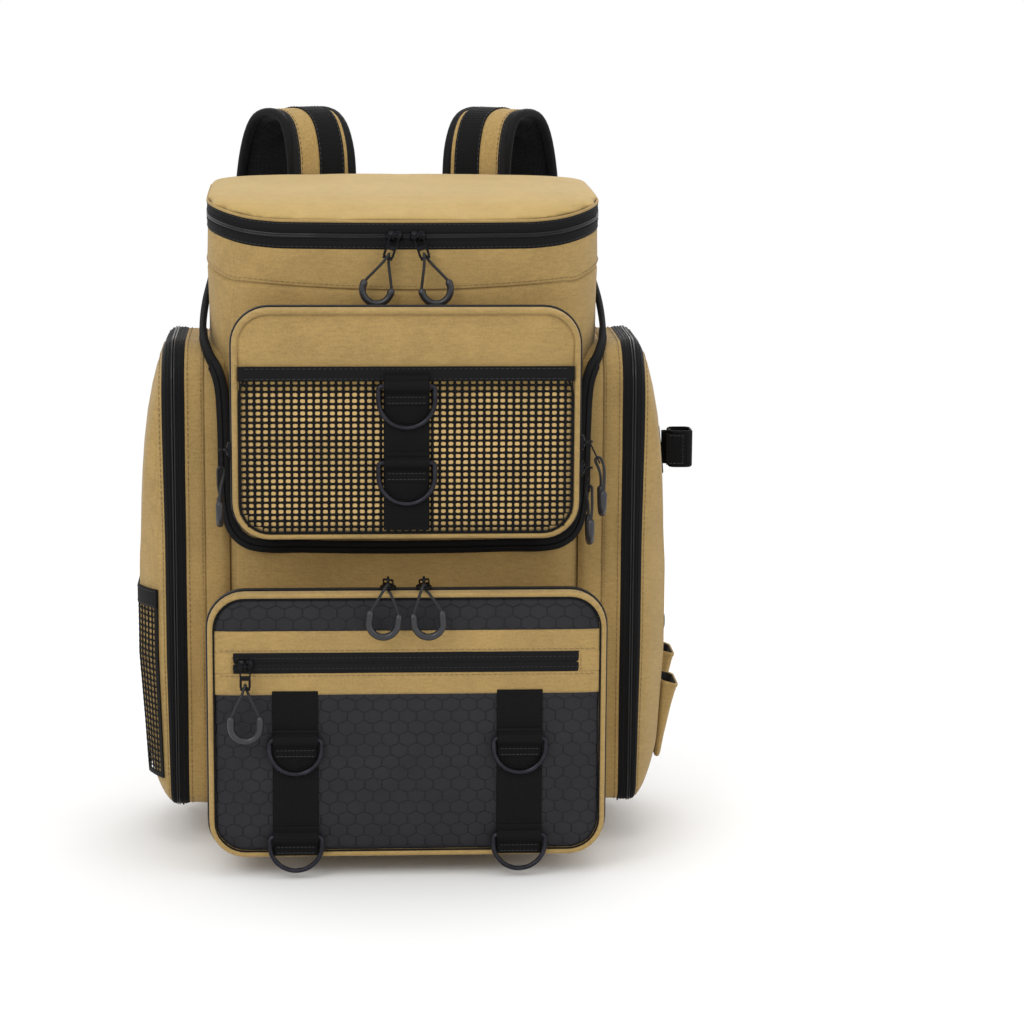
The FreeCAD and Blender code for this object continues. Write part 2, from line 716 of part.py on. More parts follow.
def make_side_zip_sets():
    """The side pockets' sliders, parked at the back of the zip under each pocket."""
    reach = number("bail_reach")
    face_down = Rotation(X_AXIS, 90)
    pieces = []
    for name, hand in (("left_side", -1), ("right_side", 1)):
        x, y, z = hand * number("side_zip"), 20, number("side_bottom")
        across = face_down.multiply(Rotation(Y_AXIS, 90))
        pieces.append(make_slider(name + "_slider", turned(x, y, z, across)))
        tab = make_tab(name + "_tab", 0)
        tab.Placement = turned(x, y, z - reach, Rotation(Z_AXIS, 90))
        pieces.append(tab)
    return pieces


# ---------------------------------------------------------------- straps and handle

def make_shoulder_strap():
    """The left shoulder strap: up from the back's top edge, over in an arch, down behind."""
    points = [Vector(-62, 81.5, 440), Vector(-62, 81.5, 500), Vector(-65, 87, 532),
              Vector(-72, 101, 553), Vector(-84, 120, 559), Vector(-96, 136, 546),
              Vector(-104, 146, 515), Vector(-108, 150, 465), Vector(-108, 148, 390),
              Vector(-108, 141, 310), Vector(-108, 129, 230), Vector(-108, 114, 165)]
    yaws = [0, 0, 8, 20, 30, 30, 20, 8, 0, 0, 0, 0]
    across = [Vector(math.cos(math.radians(yaw)), math.sin(math.radians(yaw)), 0) for yaw in yaws]
    return feature("left_shoulder_strap", ribbon(points, across, number("strap_width"),
                                                 number("strap_thickness")))


def make_ladder_lock():
    """The plastic ladder lock under the left strap: a frame with two slots for the webbing."""
    body = new_body("left_ladder_lock")
    outline = new_sketch(body, "XZ_Plane", Size(-112.5))
    rounded_box(outline, Size(-126), Size(-90), Size(122), Size(160), Size(3))
    rounded_box(outline, Size(-121), Size(-95), Size(148), Size(155), Size(1))
    rounded_box(outline, Size(-121), Size(-95), Size(127), Size(142), Size(1))
    add_pad(body, outline, Size(4), midplane=True)
    return body


def make_strap_webbing():
    """The adjusting webbing from the left ladder lock down to the pack's lower corner."""
    points = [Vector(-108, 112.5, 121), Vector(-112, 108, 100), Vector(-118, 100, 70),
              Vector(-122, 93, 48), Vector(-124, 84, 34), Vector(-125, 77.5, 18)]
    return feature("left_strap_webbing",
                   ribbon(points, [X_AXIS] * len(points), number("strap_webbing_width"),
                          number("webbing_thickness")))


def make_straps():
    left = make_shoulder_strap()
    lock = make_ladder_lock()
    webbing = make_strap_webbing()
    return [left, mirrored(left, "right_shoulder_strap"),
            group("ladder_locks", [lock, mirrored(lock, "right_ladder_lock")]),
            group("strap_webbing", [webbing, mirrored(webbing, "right_strap_webbing")])]


def make_handle():
    """The rolled grab handle between the straps, hanging down behind the back panel."""
    half, drop, top = (number("handle_half_width"), number("handle_drop"), number("handle_top"))
    depth = number("handle_depth")
    path = rounded_path([Vector(-half, depth, top), Vector(-half + 3, depth, top - drop),
                         Vector(half - 3, depth, top - drop), Vector(half, depth, top)], 0.3)[0]
    return feature("grab_handle", tube(path, number("handle_radius")))


# ---------------------------------------------------------------- the whole pack

pieces = [make_main_shell(), make_tape_ring("body_zip_tape", size("shell_height"))]
pieces += make_lid() + make_back() + make_upper_pocket() + make_lower_pocket()

shell = make_side_shell()
panel = make_side_panel()
pieces += [shell, mirrored(shell, "right_pocket_shell"), panel, mirrored(panel, "right_panel"),
           make_left_mesh(), make_rod_sleeves(), make_side_loops(), make_rod_strap()]
pieces += make_front_zip_sets() + make_lower_zip_sets() + make_upper_zip_sets()
pieces += make_side_zip_sets() + make_straps() + [make_handle()]
doc.recompute()

for item in doc.Objects:
    if "Invalid" in item.State or "Error" in item.State:
        raise RuntimeError(f"{item.Label} failed: {item.State}")

os.makedirs("parts", exist_ok=True)
for piece in pieces:
    if piece.Shape.isNull() or not piece.Shape.isValid():
        raise RuntimeError(f"{piece.Label} has a bad shape")
    piece.Shape.exportStep(f"parts/{piece.Label}.step")
print(len(pieces), "nodes")
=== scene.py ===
import math

import bmesh
import bpy
from mathutils import Matrix, Vector, noise
from mathutils.bvhtree import BVHTree


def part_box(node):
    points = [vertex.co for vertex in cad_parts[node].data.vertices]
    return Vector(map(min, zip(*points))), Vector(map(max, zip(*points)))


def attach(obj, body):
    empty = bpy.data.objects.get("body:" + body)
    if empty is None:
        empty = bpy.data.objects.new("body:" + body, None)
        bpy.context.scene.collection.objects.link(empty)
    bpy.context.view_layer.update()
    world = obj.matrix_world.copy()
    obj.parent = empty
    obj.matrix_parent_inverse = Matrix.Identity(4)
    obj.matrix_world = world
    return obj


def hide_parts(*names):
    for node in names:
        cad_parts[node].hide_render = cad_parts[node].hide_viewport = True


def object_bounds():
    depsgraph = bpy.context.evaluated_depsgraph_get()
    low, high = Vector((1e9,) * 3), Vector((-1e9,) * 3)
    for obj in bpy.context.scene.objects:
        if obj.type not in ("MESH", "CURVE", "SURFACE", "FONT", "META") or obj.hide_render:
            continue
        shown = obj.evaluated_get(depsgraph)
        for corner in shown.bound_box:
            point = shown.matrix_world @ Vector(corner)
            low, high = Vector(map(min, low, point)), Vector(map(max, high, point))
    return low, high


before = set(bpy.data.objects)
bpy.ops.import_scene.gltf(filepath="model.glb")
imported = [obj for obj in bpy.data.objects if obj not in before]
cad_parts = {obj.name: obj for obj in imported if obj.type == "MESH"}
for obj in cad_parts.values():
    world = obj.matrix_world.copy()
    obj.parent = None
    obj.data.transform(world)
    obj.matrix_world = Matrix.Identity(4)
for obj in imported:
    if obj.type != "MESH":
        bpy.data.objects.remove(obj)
cad_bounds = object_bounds()
SCENE = bpy.context.scene
MM = 0.001


def box_mm(node):
    """A CAD node's lowest and highest corners, in millimetres."""
    low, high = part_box(node)
    return low / MM, high / MM


# ---------------------------------------------------------------- camera, light and floor

def make_camera():
    """The photograph's view: a little above and left of the front, with a long lens."""
    distance, elevation, azimuth = 2500, math.radians(11), math.radians(-1.5)
    lens_in_pixels, aside, below = 3135, -110, 5
    aim = Vector((0, 0, 246))
    back = Vector((math.sin(azimuth) * math.cos(elevation),
                   -math.cos(azimuth) * math.cos(elevation), math.sin(elevation)))
    eye = aim + back * distance
    right = Vector((0, 0, 1)).cross(back).normalized()
    above = back.cross(right)
    forward = (-back - right * (aside / lens_in_pixels) + above * (below / lens_in_pixels)).normalized()
    right = forward.cross(above).normalized()
    above = right.cross(forward)
    camera = bpy.data.objects.new("camera", bpy.data.cameras.new("camera"))
    camera.data.sensor_width = 36
    camera.data.lens = lens_in_pixels / 1024 * 36
    turn = Matrix((right, above, -forward)).transposed().to_4x4()
    camera.matrix_world = Matrix.Translation(eye * MM) @ turn
    SCENE.collection.objects.link(camera)
    SCENE.camera = camera


def add_light(name, place, aim, size, power):
    light = bpy.data.lights.new(name, "AREA")
    light.size = size
    light.energy = power
    lamp = bpy.data.objects.new(name, light)
    lamp.location = place
    lamp.rotation_euler = (Vector(aim) - Vector(place)).to_track_quat("-Z", "Y").to_euler()
    SCENE.collection.objects.link(lamp)


def make_studio():
    """Plain soft light from above and both sides, and a pale floor."""
    world = bpy.data.worlds.new("studio")
    world.use_nodes = True
    background = world.node_tree.nodes["Background"]
    background.inputs["Color"].default_value = (1, 1, 1, 1)
    background.inputs["Strength"].default_value = 1.0
    SCENE.world = world
    SCENE.view_settings.view_transform = "Standard"
    middle = (0, 0, 0.25)
    add_light("key", (-1.3, -2.0, 1.9), middle, 1.3, 20)
    add_light("fill", (1.9, -1.8, 1.1), middle, 1.6, 7)
    add_light("top", (0.1, 0.2, 2.2), middle, 1.4, 10)
    add_light("rim", (0.6, 2.0, 1.4), middle, 1.2, 8)
    mesh = bpy.data.meshes.new("floor")
    half = 14
    mesh.from_pydata([(-half, -half, 0), (half, -half, 0), (half, half, 0), (-half, half, 0)],
                     [], [(0, 1, 2, 3)])
    floor = bpy.data.objects.new("floor", mesh)
    floor.location.z = cad_bounds[0][2] - 0.0005
    SCENE.collection.objects.link(floor)
    pale = Surface("pale_floor", (0.87, 0.87, 0.87), 0.9)
    glow = pale.tree.nodes.new("ShaderNodeEmission")
    mix = pale.tree.nodes.new("ShaderNodeMixShader")
    pale.link(pale.spread(pale.vector("LENGTH", pale.point), 0.45, 1.6, smooth=True), mix.inputs["Fac"])
    pale.link(pale.shader.outputs["BSDF"], mix.inputs[1])
    pale.link(glow.outputs["Emission"], mix.inputs[2])
    pale.link(mix.outputs["Shader"], pale.tree.nodes["Material Output"].inputs["Surface"])
    mesh.materials.append(pale.material)


# ---------------------------------------------------------------- materials

class Surface:
    """One procedural material, with short ways to add its nodes. Its space is the CAD frame."""

    def __init__(self, name, colour, roughness, metallic=0.0, sheen=0.0, coat=0.0, specular=0.5):
        self.material = bpy.data.materials.new(name)
        self.material.use_nodes = True
        self.material.diffuse_color = (*colour, 1)
        self.tree = self.material.node_tree
        self.shader = self.tree.nodes["Principled BSDF"]
        for socket, value in (("Base Color", (*colour, 1)), ("Roughness", roughness),
                              ("Metallic", metallic), ("Sheen Weight", sheen),
                              ("Coat Weight", coat), ("Specular IOR Level", specular)):
            self.shader.inputs[socket].default_value = value
        self.base = colour
        self.point = self.tree.nodes.new("ShaderNodeTexCoord").outputs["Object"]
        self.height = None

    def link(self, source, socket):
        """Set an input from another node's output, or from a plain value."""
        if isinstance(source, bpy.types.NodeSocket):
            self.tree.links.new(source, socket)
        else:
            socket.default_value = source

    def math(self, operation, a, b=0.0, c=0.0):
        node = self.tree.nodes.new("ShaderNodeMath")
        node.operation = operation
        for socket, source in zip(node.inputs, (a, b, c)):
            self.link(source, socket)
        return node.outputs[0]

    def vector(self, operation, a, b=(0, 0, 0), c=(0, 0, 0)):
        node = self.tree.nodes.new("ShaderNodeVectorMath")
        node.operation = operation
        for socket, source in zip(node.inputs, (a, b, c)):
            self.link(source, socket)
        return node.outputs["Value" if operation in ("LENGTH", "DOT_PRODUCT") else "Vector"]

    def axes(self, source=None):
        node = self.tree.nodes.new("ShaderNodeSeparateXYZ")
        self.link(source or self.point, node.inputs[0])
        return node.outputs[0], node.outputs[1], node.outputs[2]

    def joined(self, x, y, z):
        node = self.tree.nodes.new("ShaderNodeCombineXYZ")
        for socket, source in zip(node.inputs, (x, y, z)):
            self.link(source, socket)
        return node.outputs[0]

    def noise(self, pitch, detail=2.0, stretch=(1, 1, 1)):
        """Noise from 0 to 1, whose grains are about pitch millimetres across."""
        node = self.tree.nodes.new("ShaderNodeTexNoise")
        node.inputs["Scale"].default_value = 1 / (pitch * MM)
        node.inputs["Detail"].default_value = detail
        self.link(self.vector("MULTIPLY", self.point, stretch), node.inputs["Vector"])
        return node.outputs["Fac"]

    def wave(self, source, pitch):
        """A sine from 0 to 1 along a coordinate in metres, with its pitch in millimetres."""
        turn = self.math("SINE", self.math("MULTIPLY", source, 2 * math.pi / (pitch * MM)))
        return self.math("MULTIPLY_ADD", turn, 0.5, 0.5)

    def spread(self, source, low, high, to_low=0.0, to_high=1.0, smooth=False):
        node = self.tree.nodes.new("ShaderNodeMapRange")
        node.interpolation_type = "SMOOTHSTEP" if smooth else "LINEAR"
        for socket, value in zip(node.inputs, (source, low, high, to_low, to_high)):
            self.link(value, socket)
        return node.outputs[0]

    def mixed(self, factor, a, b):
        node = self.tree.nodes.new("ShaderNodeMix")
        node.data_type = "RGBA"
        self.link(factor, node.inputs[0])
        for socket, source in ((node.inputs[6], a), (node.inputs[7], b)):
            self.link((*source, 1) if isinstance(source, tuple) else source, socket)
        return node.outputs[2]

    def tones(self, factor, low, high):
        """The surface's own colour, from low to high times as strong."""
        return self.mixed(factor, shade(self.base, low), shade(self.base, high))

    def colour(self, source):
        self.link(source, self.shader.inputs["Base Color"])

    def bump(self, height, depth):
        """Bump whose full height is depth millimetres, on top of any already there."""
        node = self.tree.nodes.new("ShaderNodeBump")
        node.inputs["Distance"].default_value = depth * MM
        self.link(height, node.inputs["Height"])
        if self.height is not None:
            self.link(self.height, node.inputs["Normal"])
        self.height = node.outputs[0]
        self.link(self.height, self.shader.inputs["Normal"])

    def weave(self, pitch):
        """Two crossing sets of threads, which show on faces that look any way."""
        x, y, z = self.axes()
        warp = self.wave(self.math("ADD", x, y), pitch)
        weft = self.wave(self.math("MULTIPLY_ADD", self.math("SUBTRACT", x, y), 0.5, z), pitch)
        return self.math("MULTIPLY", warp, weft)


def shade(colour, factor):
    return tuple(min(1.0, part * factor) for part in colour)


def linear(red, green, blue):
    """A colour given as 0 to 255 on screen, as the shader's linear numbers."""
    return tuple((part / 255 / 12.92) if part < 11 else ((part / 255 + 0.055) / 1.055) ** 2.4
                 for part in (red, green, blue))


def woven_fabric(name, colour, mottle=0.22):
    """Plain-woven polyester: threads, slubs, and a faint cloudiness from the coating."""
    depth, roughness = 0.12, 0.86
    s = Surface(name, colour, roughness, sheen=0.12, specular=0.3)
    s.shader.inputs["Sheen Roughness"].default_value = 0.5
    threads = s.weave(0.9)
    grain = s.noise(1.5, 3)
    slub = s.noise(2.6, 2, (0.35, 0.35, 1.6))
    cloud = s.noise(34, 3)
    tone = s.math("ADD", s.math("MULTIPLY", grain, 0.42), s.math("MULTIPLY", slub, 0.3))
    tone = s.math("ADD", tone, s.math("MULTIPLY", cloud, 0.28))
    light = s.spread(tone, 0.34, 0.66)
    woven = s.tones(light, 1 - mottle, 1 + mottle)
    s.colour(s.mixed(s.math("MULTIPLY", threads, 0.22), woven, shade(colour, 0.62)))
    s.bump(threads, depth)
    s.bump(grain, depth * 1.2)
    s.bump(s.noise(14, 2), 0.35)
    s.link(s.spread(grain, 0.3, 0.7, roughness - 0.08, roughness + 0.08), s.shader.inputs["Roughness"])
    return s.material


def hex_fabric(name, colour):
    """Coated black fabric with embossed hexagons, a little wider than they are high."""
    s = Surface(name, colour, 0.52, sheen=0.02, specular=0.3)
    wide, row = 13.1 * MM, 8.9 * MM
    root = math.sqrt(3)
    x, _, z = s.axes()
    wobble = s.math("MULTIPLY", s.math("SUBTRACT", s.noise(22, 1), 0.5), 0.0016)
    across = s.math("DIVIDE", s.math("ADD", x, wobble), wide)
    up = s.math("DIVIDE", s.math("ADD", z, wobble), row * 2 / root)
    spot = s.joined(across, up, 0.0)
    repeat, half = (1, root, 1), (0.5, root / 2, 0.5)
    flat = (1, 1, 0)

    def cell(shift):
        moved = s.vector("ADD", spot, shift)
        return s.vector("MULTIPLY", s.vector("SUBTRACT", s.vector("WRAP", moved, repeat), half), flat)

    first, second = cell((0, 0, 0)), cell(half)
    nearer = s.math("LESS_THAN", s.vector("LENGTH", first), s.vector("LENGTH", second))
    away = s.math("SUBTRACT", 1.0, nearer)
    chosen = s.vector("ADD", s.vector("MULTIPLY", first, s.joined(nearer, nearer, nearer)),
                      s.vector("MULTIPLY", second, s.joined(away, away, away)))
    chosen = s.vector("ABSOLUTE", chosen)
    slant = s.vector("DOT_PRODUCT", chosen, (0.5, root / 2, 0))
    edge = s.math("SUBTRACT", 0.5, s.math("MAXIMUM", slant, s.axes(chosen)[0]))
    inside = s.spread(edge, 0.008, 0.06, smooth=True)
    grain = s.noise(0.9, 3)
    cloud = s.noise(26, 2)
    threads = s.weave(0.7)
    tone = s.spread(s.math("ADD", s.math("MULTIPLY", grain, 0.5), s.math("MULTIPLY", cloud, 0.5)),
                    0.36, 0.64)
    cloth = s.tones(tone, 0.72, 1.3)
    cloth = s.mixed(s.math("MULTIPLY", threads, 0.35), cloth, shade(colour, 0.45))
    s.colour(s.mixed(inside, shade(colour, 0.22), cloth))
    s.link(s.spread(inside, 0, 1, 0.34, 0.56), s.shader.inputs["Roughness"])
    s.bump(inside, 0.5)
    s.bump(threads, 0.1)
    return s.material


def webbing_surface(name, colour):
    """Heavy polyester webbing: ribs across its width, each made of small bundles."""
    s = Surface(name, colour, 0.75, specular=0.14)
    x, y, z = s.axes()
    pitch = 1.7
    rib = s.wave(z, pitch)
    bundle = s.wave(s.math("ADD", x, y), pitch * 1.3)
    weave = s.math("MAXIMUM", rib, s.math("MULTIPLY", bundle, 0.7))
    fuzz = s.noise(0.8, 2)
    tone = s.math("MULTIPLY", weave, s.spread(fuzz, 0.3, 0.7, 0.6, 1.1))
    s.colour(s.tones(tone, 0.35, 1.35))
    s.bump(weave, 0.25)
    s.bump(fuzz, 0.1)
    return s.material


def tape_surface(name, colour):
    """Zip tape and binding: a fine dark herringbone with a soft sheen."""
    s = Surface(name, colour, 0.65, specular=0.16)
    threads = s.weave(0.8)
    fuzz = s.noise(1.1, 2)
    tone = s.math("MULTIPLY_ADD", threads, 0.5, s.math("MULTIPLY", fuzz, 0.6))
    s.colour(s.tones(s.spread(tone, 0.1, 0.9), 0.6, 1.5))
    s.bump(threads, 0.12)
    s.bump(fuzz, 0.15)
    return s.material


def coil_surface(name, colour):
    """A nylon zip coil: close, shiny turns."""
    s = Surface(name, colour, 0.32, coat=0.15)
    x, y, z = s.axes()
    turns = s.wave(s.math("ADD", s.math("ADD", x, y), z), 1.5)
    s.colour(s.tones(turns, 0.25, 1.6))
    s.bump(turns, 0.4)
    return s.material


def air_mesh_surface(name, colour):
    """Spacer mesh: small round openings in staggered rows."""
    s = Surface(name, colour, 0.9, sheen=0.04, specular=0.2)
    x, y, z = s.axes()
    across = s.wave(s.math("ADD", x, s.math("MULTIPLY", y, 0.6)), 3.2)
    up = s.wave(s.math("ADD", z, s.math("MULTIPLY", y, 0.8)), 3.2)
    hole = s.spread(s.math("MULTIPLY", across, up), 0.35, 0.75, smooth=True)
    fuzz = s.noise(1.0, 2)
    net = s.tones(s.spread(fuzz, 0.3, 0.7), 0.7, 1.4)
    # The openings are painted near black: painted shade in their depth.
    s.colour(s.mixed(hole, net, shade(colour, 0.15)))
    s.bump(s.math("SUBTRACT", 1.0, hole), 0.8)
    s.bump(fuzz, 0.2)
    return s.material


def metal_surface(name, colour, roughness):
    """Dark plated metal with faint scuffs and worn, lighter patches."""
    s = Surface(name, colour, roughness, metallic=0.85)
    scuff = s.noise(2.5, 5, (1, 1, 0.3))
    worn = s.spread(s.noise(9, 4), 0.45, 0.75)
    s.colour(s.tones(worn, 1, 1.7))
    s.link(s.spread(scuff, 0.3, 0.7, roughness - 0.08, roughness + 0.14), s.shader.inputs["Roughness"])
    s.bump(scuff, 0.03)
    return s.material


def moulded_surface(name, colour, roughness, coat=0.0):
    """Moulded rubber or plastic: a fine spark-eroded grain and slight unevenness."""
    s = Surface(name, colour, roughness, coat=coat)
    fine, broad = s.noise(1.2, 3), s.noise(12, 2)
    s.colour(s.tones(broad, 0.8, 1.25))
    s.link(s.spread(fine, 0.3, 0.7, roughness - 0.06, roughness + 0.1), s.shader.inputs["Roughness"])
    s.bump(fine, 0.05)
    return s.material


def cord_surface(name, colour):
    """A thin braided cord."""
    s = Surface(name, colour, 0.6, sheen=0.03)
    x, _, z = s.axes()
    one = s.wave(s.math("ADD", z, x), 1.2)
    other = s.wave(s.math("SUBTRACT", z, x), 1.2)
    braid = s.math("MAXIMUM", one, other)
    s.colour(s.tones(braid, 0.5, 1.8))
    s.bump(braid, 0.15)
    return s.material


def strap_surface(name, fabric, edging):
    """The strap's face: tan fabric with a black edging along both sides, by its distance across."""
    s = Surface(name, fabric, 0.85, sheen=0.05, specular=0.3)
    place = s.tree.nodes.new("ShaderNodeAttribute")
    place.attribute_name = "across"
    across = place.outputs["Fac"]
    outer, inner = 16.8, 20.9
    beyond = s.math("GREATER_THAN", s.math("MULTIPLY", across, -1.0), outer)
    beyond = s.math("MAXIMUM", beyond, s.math("GREATER_THAN", across, inner))
    grain = s.spread(s.noise(1.5, 3), 0.35, 0.65)
    cloth = s.tones(grain, 0.86, 1.14)
    dark = s.mixed(grain, shade(edging, 0.7), shade(edging, 1.4))
    s.colour(s.mixed(beyond, cloth, dark))
    s.bump(s.weave(0.9), 0.12)
    groove = s.spread(s.math("ABSOLUTE", s.math("ADD", across, outer)), 0.0, 0.9)
    s.bump(s.math("SUBTRACT", 1.0, groove), -0.4)
    return s.material


def thread_surface(name, colour):
    """Twisted sewing thread."""
    s = Surface(name, colour, 0.55, sheen=0.03)
    twist = s.noise(0.5, 2)
    s.colour(s.tones(twist, 0.7, 1.3))
    s.bump(twist, 0.05)
    return s.material


TAN = linear(157, 130, 79)
tan = woven_fabric("tan_fabric", TAN)
# The lid's tan is the body's tan painted lighter: painted light from above on the lid's top.
tan_lid_painted_light = woven_fabric("tan_fabric_lid_painted_light", linear(174, 147, 91), mottle=0.1)
# The tan behind the upper pocket's net is painted brighter than the rest: painted light that undoes the shade
# in the net's openings.
tan_backing_painted_light = woven_fabric("tan_fabric_backing_painted_light", linear(196, 164, 108), mottle=0.1)
lining = woven_fabric("lining", linear(38, 37, 37), mottle=0.12)
hexes = hex_fabric("hex_fabric", linear(24, 24, 29))
webbing = webbing_surface("webbing", linear(10, 10, 11))
tape = tape_surface("zip_tape", linear(12, 12, 14))
binding = tape_surface("binding", linear(10, 10, 11))
coil = coil_surface("zip_coil", linear(13, 13, 15))
net = tape_surface("net_cord", linear(11, 11, 12))
air_mesh = air_mesh_surface("air_mesh", linear(16, 16, 18))
ring_metal = metal_surface("ring_metal", linear(38, 38, 44), 0.32)
slider_metal = metal_surface("slider_metal", linear(22, 22, 25), 0.22)
grip_rubber = moulded_surface("grip_rubber", linear(27, 27, 32), 0.36, coat=0.1)
cord_black = cord_surface("pull_cord", linear(8, 8, 9))
plastic = moulded_surface("black_plastic", linear(26, 26, 28), 0.38)
strap_face = strap_surface("strap_face", TAN, linear(10, 10, 11))
tan_thread = thread_surface("tan_thread", linear(118, 94, 55))
black_thread = thread_surface("black_thread", linear(27, 27, 30))


# ---------------------------------------------------------------- mesh helpers, in millimetres

class Shape:
    """Points in millimetres, faces, and each face's material number."""

    def __init__(self):
        self.points, self.faces, self.numbers = [], [], []

    def grid(self, rows, around=False, closed=False, caps=(False, False), number=0):
        """Faces between rows of points. around joins each row's ends, closed the last row to the first."""
        width, first = len(rows[0]), len(self.points)
        for row in rows:
            self.points.extend(Vector(point) for point in row)
        count = len(rows)
        for i in range(count if closed else count - 1):
            for j in range(width if around else width - 1):
                a, b = first + i * width, first + (i + 1) % count * width
                k = (j + 1) % width
                self.face([a + j, a + k, b + k, b + j], number)
        if caps[0]:
            self.face([first + j for j in range(width)][::-1], number)
        if caps[1]:
            self.face([first + (count - 1) * width + j for j in range(width)], number)
        return self

    def face(self, corners, number=0):
        self.faces.append(corners)
        self.numbers.append(number)

    def sweep(self, path, outward, section, closed=False, number=0):
        """A section of (across, outward) points carried along a path. outward is one vector or one each."""
        rows = []
        count = len(path)
        for i, point in enumerate(path):
            ahead = path[(i + 1) % count] if closed or i + 1 < count else path[i]
            behind = path[i - 1] if closed or i else path[i]
            along = (Vector(ahead) - Vector(behind)).normalized()
            out = Vector(outward[i] if isinstance(outward, list) else outward)
            out = (out - along * out.dot(along)).normalized()
            across = along.cross(out)
            rows.append([Vector(point) + across * a + out * b for a, b in section])
        caps = (not closed, not closed)
        return self.grid(rows, around=True, closed=closed, caps=caps, number=number)

    def tube(self, path, outward, radius, closed=False, sides=8, number=0):
        return self.sweep(path, outward, circle(radius, sides), closed, number)

    def piece(self, name, body, materials, slot, node=None):
        """The finished object, in metres, riding on a CAD body and standing for a CAD node."""
        if body in ("left_door", "right_door"):
            for point in self.points:
                point.x = tapered(point.x, point.z)
        mesh = bpy.data.meshes.new(name)
        mesh.from_pydata([point * MM for point in self.points], [], self.faces)
        for material in materials:
            mesh.materials.append(material)
        mesh.polygons.foreach_set("material_index", self.numbers)
        edit = bmesh.new()
        edit.from_mesh(mesh)
        bmesh.ops.remove_doubles(edit, verts=edit.verts, dist=0.00001)
        bmesh.ops.recalc_face_normals(edit, faces=edit.faces)
        edit.to_mesh(mesh)
        edit.free()
        mesh.shade_smooth()
        mesh.set_sharp_from_angle(angle=math.radians(40))
        item = bpy.data.objects.new(name, mesh)
        SCENE.collection.objects.link(item)
        if body:
            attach(item, body)
        if node:
            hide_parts(node)
        return item


def zip_rise(y):
    """How much higher the lid's zip runs at a distance from front to back than at the front."""
    return 14 * (1 - math.exp(-max(0.0, y + 84) / 30))


def oval(across, high, sides):
    return [(across * math.cos(2 * math.pi * i / sides), high * math.sin(2 * math.pi * i / sides))
            for i in range(sides)]


def circle(radius, sides=8):
    return oval(radius, radius, sides)


def strip(width, thickness, low=0.0):
    """A flat band's section, with slightly rounded edges, standing on the surface."""
    w, t, c = width / 2, thickness, min(thickness * 0.45, width * 0.2)
    return [(-w, low), (w, low), (w, low + t - c), (w - c, low + t), (c - w, low + t), (-w, low + t - c)]


def direction(path, i):
    """The way a path runs at its point i."""
    return (path[min(i + 1, len(path) - 1)] - path[max(i - 1, 0)]).normalized()


def turned(degrees, axis):
    return Matrix.Rotation(math.radians(degrees), 4, axis)


def smooth_path(points, per_run=6):
    """A Catmull-Rom line through points."""
    points = [Vector(point) for point in points]
    ends = [points[0] * 2 - points[1]] + points + [points[-1] * 2 - points[-2]]
    line = []
    for a, b, c, d in zip(ends, ends[1:], ends[2:], ends[3:]):
        for i in range(per_run):
            t = i / per_run
            line.append(0.5 * (2 * b + (c - a) * t + (2 * a - 5 * b + 4 * c - d) * t * t
                               + (3 * b - 3 * c + d - a) * t ** 3))
    return line + [points[-1]]


STRAIGHT_RUNS = 22      # pieces in each straight side of a rounded loop


def rounded_loop(u0, u1, v0, v1, radius, arc=9, foot=None):
    """A rectangle with round corners as (u, v, outward u, outward v), counterclockwise.

    foot is the two lower corners' radius where it differs.
    """
    limit = min((u1 - u0) / 2 - 0.01, (v1 - v0) / 2 - 0.01)
    top = max(0.01, min(radius, limit))
    low = top if foot is None else max(0.01, min(foot, limit))
    loop = []
    corners = [(u1 - low, v0 + low, -90, low), (u1 - top, v1 - top, 0, top),
               (u0 + top, v1 - top, 90, top), (u0 + low, v0 + low, 180, low)]
    for index, (cu, cv, start, radius) in enumerate(corners):
        for i in range(arc + 1):
            turn = math.radians(start + 90 * i / arc)
            loop.append((cu + radius * math.cos(turn), cv + radius * math.sin(turn),
                         math.cos(turn), math.sin(turn)))
        nu, nv, _, following = corners[(index + 1) % 4]
        a = loop[-1]
        turn = math.radians(start + 90)
        b = (nu + following * math.cos(turn), nv + following * math.sin(turn))
        for i in range(1, STRAIGHT_RUNS):
            t = i / STRAIGHT_RUNS
            loop.append((a[0] + (b[0] - a[0]) * t, a[1] + (b[1] - a[1]) * t, a[2], a[3]))
    return loop


def inset_loop(box, inset, radius, drop=0.0):
    """A rounded loop a distance inside a box of (low u, high u, low v, high v), its top lowered by drop."""
    u0, u1, v0, v1 = box
    return rounded_loop(u0 + inset, u1 - inset, v0 + inset, v1 - inset - drop, radius - inset)


def front(u, v, w):
    """A place w in front of the middle plane, u across and v up."""
    return Vector((u, -w, v))


def left(u, v, w):
    """A place w left of the middle plane, u towards the back and v up."""
    return Vector((-w, u, v))


def right(u, v, w):
    return Vector((w, u, v))


def behind(u, v, w):
    return Vector((u, w, v))


def ripple(point, size, height):
    """A smooth random lift, the same each run."""
    return noise.noise(Vector(point) / size) * height


def tapered(x, z):
    """The side pockets' panels draw in towards their foot, and so does all that is sewn to them."""
    seam = 177
    share = 1.0
    for high, low, loss in ((330, 240, 0.15), (150, 31, 0.22)):
        share -= loss * min(1.0, max(0.0, (high - z) / (high - low)))
    return x if abs(x) < seam else math.copysign(seam + (abs(x) - seam) * share, x)


HALF_WIDTH, CORNER = 150, 50    # the compartment's plan: half its width, and its corner radius
BOW, APEX = 585, 92     # the bowed front's radius, and how far in front of the middle it stands
SEAM_BACK = 66          # how far back the seams round the compartment run


def bow_depth(x):
    """How far in front of the middle the compartment's bowed front stands."""
    return APEX - BOW + math.sqrt(BOW ** 2 - x ** 2)


